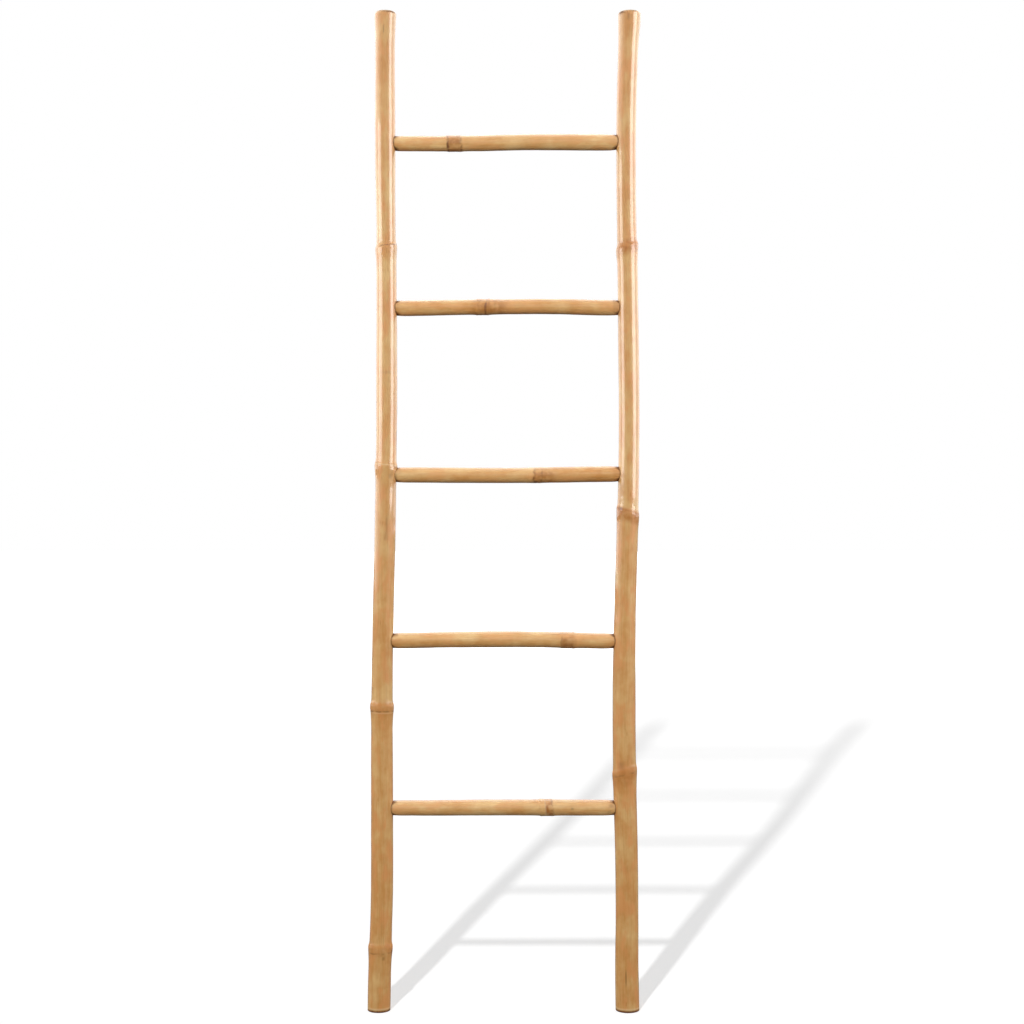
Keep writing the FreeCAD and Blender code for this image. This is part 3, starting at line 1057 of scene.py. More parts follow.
    def spread(self, co: np.ndarray) -> tuple[np.ndarray, ...]:
        """Return each vertex's place along the culm, its two offsets from the middle, and the radius there.

        Args:
            co: The vertices as rows.

        Returns:
            The four columns.
        """
        along, across = self.lie.value
        sideways, depth, radius = self.at(co[:, along])
        return co[:, along], co[:, across] - sideways, co[:, 1] - depth, radius

    def joint_offset(self, place: np.ndarray, sideways: np.ndarray) -> tuple[np.ndarray, np.ndarray]:
        """Find each vertex's nearest joint.

        Args:
            place: Each vertex's place along the culm.
            sideways: Its offset sideways from the culm's middle.

        Returns:
            How far each is past the joint's leaning ring, along the culm, and the joint's number.
        """
        nearest = np.full(len(place), self.joint_reach)
        number = np.zeros(len(place), int)
        for index, joint in enumerate(self.joints):
            offset = place - joint.place - math.tan(math.radians(joint.tilt)) * sideways
            closer = np.abs(offset) < np.abs(nearest)
            nearest = np.where(closer, offset, nearest)
            number = np.where(closer, index, number)
        return nearest, number

    def roughen(self, piece: bpy.types.Object) -> None:
        """Give the skin the slight waves of a grown culm, and its joints a rougher edge.

        Args:
            piece: The pole, which is left as it is inside and at its ends.
        """
        place, sideways, depth, radius = self.spread(self.corners(piece))
        start, end = self.gauge.start + self.plain_end, self.gauge.end - self.plain_end
        skin = (np.hypot(sideways, depth) > radius * self.skin_starts) & (place > start) & (place < end)
        offset = self.joint_offset(place, sideways)[0]
        low, *_, high = self.form()[0] / 2
        joints = skin & (offset > low) & (offset < high)
        for name, chosen, strength, size in (("skin", skin, self.wave, self.wave_size),
                                             ("joints", joints, self.knurl, self.knurl_size)):
            group = piece.vertex_groups.new(name=name)
            group.add([int(index) for index in np.flatnonzero(chosen)], 1.0, "REPLACE")
            texture = bpy.data.textures.new(name + "_relief", "CLOUDS")
            texture.noise_scale = size
            texture.noise_depth = 1
            Bench.apply(piece, "DISPLACE", texture=texture, strength=strength, mid_level=0.5,
                        texture_coords="LOCAL", vertex_group=name)
            piece.vertex_groups.remove(piece.vertex_groups[name])

    def joint_marks(self, place: np.ndarray, sideways: np.ndarray,
                    bearing: np.ndarray) -> dict[str, np.ndarray]:
        """Return what the finish reads of the joints.

        Args:
            place: Each vertex's place along the culm.
            sideways: Its offset sideways from the culm's middle.
            bearing: Its bearing in degrees from the front.

        Returns:
            The values by name: from_scar, from_ring, scar, bloom, wax and dull.
        """
        offset, number = self.joint_offset(place, sideways)

        def each(name: str, other: float = 0.0) -> np.ndarray:
            """Return one of the nearest joint's figures for each vertex, or the other where it is None."""
            figures = [getattr(joint, name) for joint in self.joints]
            return np.array([other if figure is None else figure for figure in figures])[number]

        all_round = np.array([joint.faces is None for joint in self.joints])[number]
        side = np.cos(np.radians(bearing - each("faces"))) + self.side_spread
        side = np.where(all_round, 1.0, np.clip(side, self.side_least, 1.0))
        low, high = each("bloom_low"), each("bloom_high")
        rise = np.clip((offset + low) / (self.bloom_rise * low), 0, 1)
        fall = (high + self.bloom_past - offset) / (self.bloom_fall * high + self.bloom_fade)
        wax = each("wax") * self.band(offset - each("wax_and_sheen_at"), self.wax_and_sheen_reach)
        # A pale line painted round the foot, just above its lower edge.
        worn = self.foot_pale_line * self.band(place - self.foot_line_height, self.foot_line_reach)
        return {"from_scar": offset - each("scar_at"), "from_ring": offset - each("ring_at", 1.0),
                "scar": each("scar") * side, "wax": np.maximum(wax, worn),
                "bloom": each("bloom") * side * rise * rise * (3 - 2 * rise) * np.clip(fall, 0, 1),
                "dull": each("dull") * self.band(offset - self.dull_at, self.dull_reach, 2)}

    def ripeness(self, place: np.ndarray) -> np.ndarray:
        """Return how ripe the skin is, changing from one internode to the next.

        Args:
            place: Each vertex's place along the culm.

        Returns:
            The ripeness, from 0 to 1.
        """
        steps = [(self.gauge.start, self.tones[0])]
        for joint, before, after in zip(self.joints, self.tones, self.tones[1:]):
            steps += [(joint.place - self.tone_below, before), (joint.place + self.tone_above, after)]
        return np.interp(place, *zip(*steps))

    def stains_and_shade(self, place: np.ndarray, bearing: np.ndarray, radius: np.ndarray) -> np.ndarray:
        """Return how dark the culm's own marks, cracks and spots of painted shade make each vertex.

        Args:
            place: Each vertex's place along the culm.
            bearing: Its bearing in degrees from the front.
            radius: The culm's radius there.

        Returns:
            The darkness, from 0 to 1.
        """
        dark = np.zeros(len(place))
        for mark in self.marks:
            turned = np.radians((bearing - mark.bearing + 180) % 360 - 180)
            along = self.band(place - mark.place, mark.length / 2)
            across = self.band(turned * radius, mark.width / 2, 2)
            dark = np.maximum(dark, mark.strength * along * across)
        return dark

    def paint_attributes(self, piece: bpy.types.Object) -> None:
        """Write what the finish reads onto the mesh.

        Args:
            piece: The finished mesh.
        """
        co = self.corners(piece)
        place, sideways, depth, radius = self.spread(co)
        scale = self.pattern_radius / radius
        inset = radius - np.hypot(sideways, depth)
        bearing = np.degrees(np.arctan2(sideways, -depth))
        values = {"tone": self.ripeness(place), "rim": self.rim(co),
                  "mark": self.stains_and_shade(place, bearing, radius),
                  "cut": np.clip((inset - self.cut_depth) / self.cut_fade, 0, 1),
                  **self.joint_marks(place, sideways, bearing)}
        for name, column in values.items():
            attribute = piece.data.attributes.new(name, "FLOAT", "POINT")
            attribute.data.foreach_set("value", column.astype(np.float32))
        cane = np.stack([sideways * scale, depth * scale, place + self.seed], axis=1)
        attribute = piece.data.attributes.new("cane", "FLOAT_VECTOR", "POINT")
        attribute.data.foreach_set("vector", cane.astype(np.float32).ravel())

    def build(self, material: bpy.types.Material) -> bpy.types.Object:
        """Model, roughen, drill and dress the culm.

        Args:
            material: Its finish.

        Returns:
            The piece.
        """
        piece = Cage(self.node + "_culm", self.lie, self.sides, self.levels).model(self.rings())
        self.roughen(piece)
        self.fit(piece)
        self.paint_attributes(piece)
        Bench.dress(piece, material, self.slot, self.node, self.crease)
        return piece


class PegHole:
    """Where a packed peg is. It lies along Y, with its head at the back."""

    # The drill's sides, and how far clear of the wood it starts.
    SIDES = 28
    RUN_OUT = 5 * MM

    def __init__(self, node: str) -> None:
        """Read a packed peg's box.

        Args:
            node: The peg's node.
        """
        low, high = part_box(node)
        self.node = node
        self.middle = (low + high) / 2
        self.radius = (high.x - low.x) / 2
        self.tip, self.head = low.y, high.y

    def bar(self, gap: float, run_out: float = 0.0) -> bpy.types.Object:
        """Return a drill for the peg's hole, which starts clear of the back.

        Args:
            gap: The gap all round the peg.
            run_out: How far past the peg's tip the drill goes.

        Returns:
            The drill.
        """
        ends = (Vector((self.middle.x, self.tip - run_out, self.middle.z)),
                Vector((self.middle.x, self.head + self.RUN_OUT, self.middle.z)))
        return Bench.rod("peg_drill", self.radius + gap, ends, self.SIDES)

    def beside(self, co: np.ndarray) -> np.ndarray:
        """Return how far each vertex is from the peg's side, seen from the back."""
        return np.hypot(co[:, 0] - self.middle.x, co[:, 2] - self.middle.z) - self.radius


@dataclass
class Rail(Culm):
    """An upright culm with its sockets and peg holes.

    Args:
        side: Which side of the ladder it is.
        head_lip: How far below its top the joint at its head has its lip.
        pegs: The pegs that lock the rungs in it.
        rungs: The rungs that enter it, which the ladder fills in.
    """

    side: Side = Side.LEFT
    head_lip: float = 2 * MM
    pegs: list[PegHole] = field(default_factory=list)
    rungs: list["Rung"] = field(default_factory=list)

    joint_form: Profile = (
        (-38, 0.0, 0.0), (-30, 0.10, 0.2), (-22, 0.26, 0.45), (-16, 0.46, 0.75), (-12.5, 0.64, 0.9),
        (-10, 0.79, 1.0), (-8, 0.89, 1.0), (-6, 0.96, 1.0), (-4.4, 0.99, 1.0), (-3.0, 1.0, 1.0),
        (-1.8, 0.97, 1.0), (-0.7, 0.88, 1.0), (0.4, 0.73, 1.0), (1.5, 0.55, 1.0), (2.7, 0.38, 1.0),
        (4.0, 0.24, 1.0), (5.6, 0.13, 0.9), (7.8, 0.06, 0.75), (10.5, 0.02, 0.6), (15.0, 0.01, 0.3),
        (22.0, 0.0, 0.0))
    foot_pale_line: float = 0.6
    # Where the head is measured, in millimetres below its lip.
    head_steps: tuple[float, ...] = (38, 30, 24, 19, 15, 12.5, 10, 8, 5.5, 3.5, 1, 0)
    measure_spacing: float = 20 * MM
    ring_spacing: float = 16 * MM
    # The radius of the last ring at each end, which closes the cage.
    end_ring: float = 3 * MM
    # Where the skin's rings start, and how far below the rounding of the head they end.
    skin_low: float = 2.4 * MM
    skin_clear: float = 0.4 * MM
    wall: float = 5 * MM
    # The hollow of the foot, from its end down: height, and how much wider than the bore.
    foot_bore_depth: float = 92 * MM
    bore_profile: Profile = ((88, 0.0), (60, 0.0), (30, 0.0), (8, 0.0), (1.5, 0.0), (0.3, 0.1), (0.0, 0.6))
    # The foot's eased edge: height, and how much narrower than the foot.
    foot_ease: float = 0.8 * MM
    foot_profile: Profile = ((0.0, 2.2), (0.0, 0.9), (0.22, 0.3), (0.8, 0.0))
    # The head's rounding, and the dish in it: depth below the top, and how much narrower than the head.
    head_rounding: float = 4.5 * MM
    head_turns: tuple[float, ...] = (0, 18, 36, 54, 72, 90)
    dish_profile: Profile = ((0.0, 5.6), (0.3, 6.2), (0.9, 6.9), (1.3, 8.5))
    dish_depth: float = 1.5 * MM
    # A bud: how far below the lip it grows, its height, its tip's radius and its whole reach.
    bud_drop: float = 9 * MM
    bud_height: float = 0.8 * MM
    bud_tip: float = 2 * MM
    bud_reach: float = 5 * MM
    # A socket: the gap round the tenon, how far past the rail's middle it goes, and the drill's length
    # and sides. A peg's hole: the gap round the peg.
    socket_gap: float = 0.25 * MM
    socket_depth: float = 5 * MM
    socket_run: float = 40 * MM
    socket_sides: int = 72
    peg_gap: float = 0.15 * MM
    # How far the staining and painted shade reach from a rung, the staining from a peg, and the painted
    # contact shade up the foot, with the foot's fade.
    rim_stain_and_shade: float = 1.8 * MM
    peg_stain: float = 1.6 * MM
    foot_shade: float = 3.6 * MM
    foot_fade: float = 1.2 * MM

    def plain_places(self) -> list[float]:
        """Find where to measure: clear of the joints, and closely at the head.

        Returns:
            The heights, from the lowest up.
        """
        rounding = self.gauge.end - self.head_rounding
        lip = self.gauge.end - self.head_lip
        head = [lip - step * MM for step in self.head_steps]
        head = [place for place in head if place < rounding - 0.3 * MM] + [rounding - 0.2 * MM]
        low = self.foot_ease
        count = round((head[0] - low) / self.measure_spacing)
        plain = [low + 1 * MM + (head[0] - low) * index / count for index in range(count)]
        return [place for place in plain if not self.in_joint(place)] + head

    def bearings(self, place: float) -> tuple[float, ...]:
        """Return the directions clear of the sockets and the peg holes."""
        return tuple(self.side.value * angle for angle in (-25, 5, 35, 65, 95, 125, 150, 166))

    def rings(self) -> list[Ring]:
        """Lay out the whole cage: down the hollow of the foot, round its edge, up the skin, over the head.

        Returns:
            The rings in order.
        """
        foot = self.at(self.foot_ease)[2]
        bore, deep = foot - self.wall, self.foot_bore_depth
        profile = [(deep, self.end_ring), (deep, bore - 2 * MM), (deep, bore)]
        profile += [(height * MM, bore + wider * MM) for height, wider in self.bore_profile]
        profile += [(height * MM, foot - narrower * MM) for height, narrower in self.foot_profile]
        rings = [self.ring(place, radius) for place, radius in profile]
        top = self.gauge.end
        rounding = top - self.head_rounding
        rings += [ring for ring in self.outside_rings(self.skin_low, rounding, self.ring_spacing)
                  if ring.middle.z < rounding - self.skin_clear]
        head = self.at(rounding)[2]
        for degrees in self.head_turns:
            angle = math.radians(degrees)
            rings.append(self.ring(rounding + self.head_rounding * math.sin(angle),
                                   head - self.head_rounding * (1 - math.cos(angle))))
        rings += [self.ring(top - drop * MM, head - narrower * MM) for drop, narrower in self.dish_profile]
        return rings + [self.ring(top - self.dish_depth, self.end_ring)]

    def grow_bud(self, piece: bpy.types.Object, joint: Joint) -> None:
        """Raise the small bud at a joint.

        Args:
            piece: The pole.
            joint: The joint, which shows a bud.
        """
        place = joint.place - self.bud_drop
        sideways, depth, radius = self.at(place)
        angle = math.radians(joint.bud)
        outward = Vector((math.sin(angle), -math.cos(angle), 0.0))
        spot = Vector((sideways, depth, place)) + outward * (radius + joint.swell / 2)
        near = [vertex.index for vertex in piece.data.vertices if (vertex.co - spot).length < self.bud_tip]
        Bench.take_up(piece)
        bpy.ops.object.mode_set(mode="EDIT")
        Bench.pick(piece, near)
        bpy.ops.transform.translate(value=outward * self.bud_height, use_proportional_edit=True,
                                    proportional_edit_falloff="SMOOTH", proportional_size=self.bud_reach)
        bpy.ops.object.mode_set(mode="OBJECT")

    def fit(self, piece: bpy.types.Object) -> None:
        """Grow the buds, and drill the rungs' sockets and the pegs' holes.

        Args:
            piece: The pole.
        """
        for joint in self.joints:
            if joint.bud is not None:
                self.grow_bud(piece, joint)
        inward = Vector((-self.side.value, 0.0, 0.0))
        sockets = []
        for rung in self.rungs:
            centre = rung.tenon_centre(self.side)
            inner = Vector((self.at(centre.z)[0], centre.y, centre.z)) - inward * self.socket_depth
            ends = (inner, inner + inward * self.socket_run)
            sockets.append(Bench.rod("socket_drill", rung.tenon_radius() + self.socket_gap, ends,
                                     self.socket_sides))
        Bench.drill(piece, sockets)
        Bench.drill(piece, [peg.bar(self.peg_gap) for peg in self.pegs])

    def rim(self, co: np.ndarray) -> np.ndarray:
        """Return the glue staining and painted shade about each socket, the staining about each peg hole,
        and the painted contact shade at the foot.

        Args:
            co: The vertices as rows.

        Returns:
            How dark each vertex is painted, from 0 to 1.
        """
        # Painted contact shade along the foot's lower edge, where it stands on the floor.
        dirt_and_shade = np.clip((self.foot_shade - co[:, 2]) / self.foot_fade, 0, 1)
        inner = (co[:, 0] - self.at(co[:, 2])[0]) * self.side.value < 0
        # Glue staining and painted shade in the crevice round each socket, on the rail's inner side.
        for rung in self.rungs:
            centre = rung.tenon_centre(self.side)
            gap = np.hypot(co[:, 1] - centre.y, co[:, 2] - centre.z) - rung.tenon_radius()
            dirt_and_shade = np.maximum(dirt_and_shade, inner * np.clip(1 - gap / self.rim_stain_and_shade, 0, 1) ** 1.5)
        back = co[:, 1] > 0
        for peg in self.pegs:
            dirt_and_shade = np.maximum(dirt_and_shade, back * 0.8 * np.clip(1 - peg.beside(co) / self.peg_stain, 0, 1))
        return dirt_and_shade


@dataclass
class Rung(Culm):
    """A level culm let into both rails.

    Args:
        rails: The rails that hold it, which the ladder fills in.
    """

    rails: list[Rail] = field(default_factory=list)

    lie: Lie = Lie.LEVEL
    slot: Slot = Slot.RUNG
    sides: int = 24
    joint_form: Profile = (
        (-22, 0.0, 0.0), (-16, 0.10, 0.5), (-13, 0.25, 0.8), (-11.4, 0.55, 1.0), (-10.4, 0.92, 1.0),
        (-9.4, 1.04, 1.0), (-8.4, 0.92, 1.0), (-6.5, 0.75, 1.0), (-2.0, 0.76, 1.0), (2.0, 0.78, 1.0),
        (4.5, 0.80, 1.0), (6.2, 0.94, 1.0), (7.4, 1.03, 1.0), (8.5, 0.85, 1.0), (9.6, 0.55, 1.0),
        (12.0, 0.30, 0.8), (16.0, 0.10, 0.5), (22.0, 0.0, 0.0))
    pattern_radius: float = 12 * MM
    wave: float = 0.35 * MM
    wave_size: float = 22 * MM
    knurl: float = 0.45 * MM
    knurl_size: float = 5 * MM
    plain_end: float = 26 * MM
    # The length at each end that is measured from its sides alone, clear of the pegs.
    tenon: float = 20 * MM
    peg_gap: float = 0.1 * MM
    # The radius of the last ring at each end, which closes the cage, and where the skin's rings start.
    end_ring: float = 2 * MM
    skin_inset: float = 3 * MM
    # Where to measure, in millimetres from each end: outside the pegs, and inside them up to the skin.
    tenon_steps: tuple[float, ...] = (1.5, 3, 11)
    shoulder_steps: tuple[float, ...] = (14, 16, 18, 20, 21, 22, 23, 24, 25.5, 27, 29, 32, 38, 46)
    body_steps: int = 14
    ring_spacing: float = 7.5 * MM
    # The hollow from its end outwards: distance from the rung's end, and how much wider than the bore.
    bore: float = 7.6 * MM
    bore_profile: Profile = ((24, -1.5), (24, 0.0), (21, 0.0), (8, 0.0), (1, 0.0), (0.2, 0.1), (0.0, 0.6))
    # The glue staining and painted shade at a rail: how dark it is in front, and how far it reaches there.
    rim_dark: float = 0.75
    rim_reach: float = 1.3 * MM
    # Above and below, in the corners, the painted shade is full: where that begins and over what share of
    # the radius, and the added reach.
    corner_starts: float = 0.5
    corner_fade: float = 0.35
    corner_reach: float = 4.7 * MM
    # The tenon's eased end: distance from the rung's end, and how much narrower than the tenon.
    tenon_profile: Profile = ((0.0, 1.4), (0.0, 0.8), (0.35, 0.25), (0.8, 0.0), (2.0, 0.0))

    def plain_places(self) -> list[float]:
        """Find where to measure: in the tenons clear of the pegs, and on the skin clear of the joint.

        Returns:
            The places, from left to right.
        """
        start, end = self.gauge.start, self.gauge.end
        steps = [step * MM for step in self.tenon_steps + self.shoulder_steps]
        low, high = start + steps[-1], end - steps[-1]
        body = [low + (high - low) * index / self.body_steps for index in range(1, self.body_steps)]
        every = [start + step for step in steps] + body + [end - step for step in reversed(steps)]
        return [place for place in every if not self.in_joint(place)]

    def bearings(self, place: float) -> tuple[float, ...]:
        """Return the directions clear of the peg holes, which run through the tenons from front to back."""
        if min(place - self.gauge.start, self.gauge.end - place) < self.tenon:
            return 50, 70, 90, 110, 130, -50, -70, -90, -110, -130
        return tuple(range(0, 360, 30))

    def tenon_radius(self) -> float:
        """Return the radius of the shaved end."""
        return float(self.table[0, 3])

    def tenon_centre(self, side: Side) -> Vector:
        """Return the middle of the tenon in one of the rails."""
        return self.gauge.point(*self.table[0 if side is Side.LEFT else -1][:3])

    def rings(self) -> list[Ring]:
        """Lay out the whole cage: out of one bore, round its tenon, along the skin, into the other bore.

        Returns:
            The rings in order.
        """
        start, end = self.gauge.start, self.gauge.end
        tenon = self.tenon_radius()
        mouth = [(self.bore_profile[0][0] * MM, self.end_ring)]
        mouth += [(inward * MM, self.bore + wider * MM) for inward, wider in self.bore_profile]
        mouth += [(inward * MM, tenon - narrower * MM) for inward, narrower in self.tenon_profile]
        rings = [self.ring(start + inward, radius) for inward, radius in mouth]
        rings += self.outside_rings(start + self.skin_inset, end - self.skin_inset, self.ring_spacing)
        return rings + [self.ring(end - inward, radius) for inward, radius in reversed(mouth)]

    def fit(self, piece: bpy.types.Object) -> None:
        """Drill the holes that the two pegs pass through.

        Args:
            piece: The pole.
        """
        holes = []
        for rail in self.rails:
            height = self.tenon_centre(rail.side).z
            peg = min(rail.pegs, key=lambda peg: abs(peg.middle.z - height))
            holes.append(peg.bar(self.peg_gap, PegHole.RUN_OUT))
        Bench.drill(piece, holes)

    def rim(self, co: np.ndarray) -> np.ndarray:
        """Return the glue staining and painted shade where the rung enters the rails; the painted shade
        reaches further in the corners above and below.

        Args:
            co: The vertices as rows.

        Returns:
            How dark each vertex is painted, from 0 to 1.
        """
        dirt_and_shade = np.zeros(len(co))
        for rail in self.rails:
            height = self.tenon_centre(rail.side).z
            sideways, depth, radius = rail.at(height)
            gap = np.hypot(co[:, 0] - sideways, co[:, 1] - depth) - radius
            level = np.abs(co[:, 2] - height) / self.tenon_radius()
            # Painted shade, darkest and widest in the corners above and below, where the rung meets the
            # rail.
            corner_shade = np.clip((level - self.corner_starts) / self.corner_fade, 0, 1)
            dark = self.rim_dark + (1 - self.rim_dark) * corner_shade
            reach = self.rim_reach + self.corner_reach * corner_shade
            dirt_and_shade = np.maximum(dirt_and_shade, dark * np.clip(1.2 - gap / reach, 0, 1))
        return dirt_and_shade


@dataclass(frozen=True)
class PegSet:
    """The split-bamboo pegs, whittled once and copied to each hole.

    Args:
        holes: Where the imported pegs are.
        facets: How many cuts of the knife went round the peg.
        turn: How far each peg is turned from the one before, in degrees.
        crease: The angle in degrees past which an edge stays sharp.
    """

    holes: list[PegHole]
    facets: int = 10
    turn: float = 137.5
    crease: float = 35.0

    def whittle(self, radius: float, length: float) -> bpy.types.Object:
        """Model one peg along +Y, its tip at the origin.

        Args:
            radius: Its radius.
            length: Its length.

        Returns:
            The peg.
        """
        before, size = 0.0, 0.5
        Bench.clear()
        bpy.ops.mesh.primitive_circle_add(vertices=self.facets, radius=radius * size, fill_type="NGON",
                                          rotation=(-math.pi / 2, 0.0, 0.0))
        peg = bpy.context.object
        Bench.settle(peg)
        bpy.ops.object.mode_set(mode="EDIT")
        bpy.ops.mesh.select_all(action="SELECT")
        profile = ((0.0, 0.62), (0.25 * MM, 0.8), (0.8 * MM, 0.97), (4 * MM, 1.0), (length * 0.5, 0.985),
                   (length - 2 * MM, 1.0), (length - 0.55 * MM, 1.0), (length - 0.2 * MM, 0.93),
                   (length - 0.05 * MM, 0.78), (length, 0.5), (length, 0.2))
        for place, share in profile:
            bpy.ops.mesh.extrude_region_move(TRANSFORM_OT_translate={"value": (0.0, place - before, 0.0)})
            bpy.ops.transform.resize(value=(share / size, 1.0, share / size),
                                     center_override=(0.0, place, 0.0))
            before, size = place, share
        bpy.ops.mesh.select_all(action="SELECT")
        bpy.ops.mesh.normals_make_consistent(inside=False)
        bpy.ops.object.mode_set(mode="OBJECT")
        Bench.apply(peg, "SUBSURF", levels=2, render_levels=2)
        return peg

    def build(self, material: bpy.types.Material) -> list[bpy.types.Object]:
        """Whittle one peg, and drive a copy into each hole.

        Args:
            material: Their finish.

        Returns:
            The pegs.
        """
        first = self.holes[0]
        master = self.whittle(first.radius, first.head - first.tip)
        pegs = []
        for number, hole in enumerate(self.holes):
            Bench.take_up(master)
            bpy.ops.object.duplicate(linked=False)
            peg = bpy.context.object
            peg.name = hole.node + "_split"
            peg.rotation_euler = (0.0, number * math.radians(self.turn), 0.0)
            peg.scale = (1.0, (hole.head - hole.tip) / master.dimensions.y, 1.0)
            peg.location = (hole.middle.x, hole.tip, hole.middle.z)
            Bench.settle(peg)
            Bench.dress(peg, material, Slot.PEG, hole.node, self.crease)
            pegs.append(peg)
        bpy.data.objects.remove(master)
        return pegs


@dataclass
class Ladder:
    """The whole ladder: two rails, five rungs and ten pegs.

    Args:
        left: The left rail.
        right: The right rail.
        rungs: The rungs, from the lowest up.
    """

    left: Rail
    right: Rail
    rungs: list[Rung]

    def build(self) -> list[bpy.types.Object]:
        """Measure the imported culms, then model and dress every piece.

        Returns:
            The pieces.
        """
        effects = Effects()
        rail_skin, rung_skin, peg_finish = (
            finish.build(effects) for finish in (RAIL_SKIN, RUNG_SKIN, PEG_FINISH))
        rails = [self.left, self.right]
        for culm in (*rails, *self.rungs):
            culm.measure()
        for rail in rails:
            rail.rungs = self.rungs
        for rung in self.rungs:
            rung.rails = rails
        pieces = [rail.build(rail_skin) for rail in rails]
        pieces += [rung.build(rung_skin) for rung in self.rungs]
        for rail in rails:
            pieces += PegSet(rail.pegs).build(peg_finish)
        return pieces


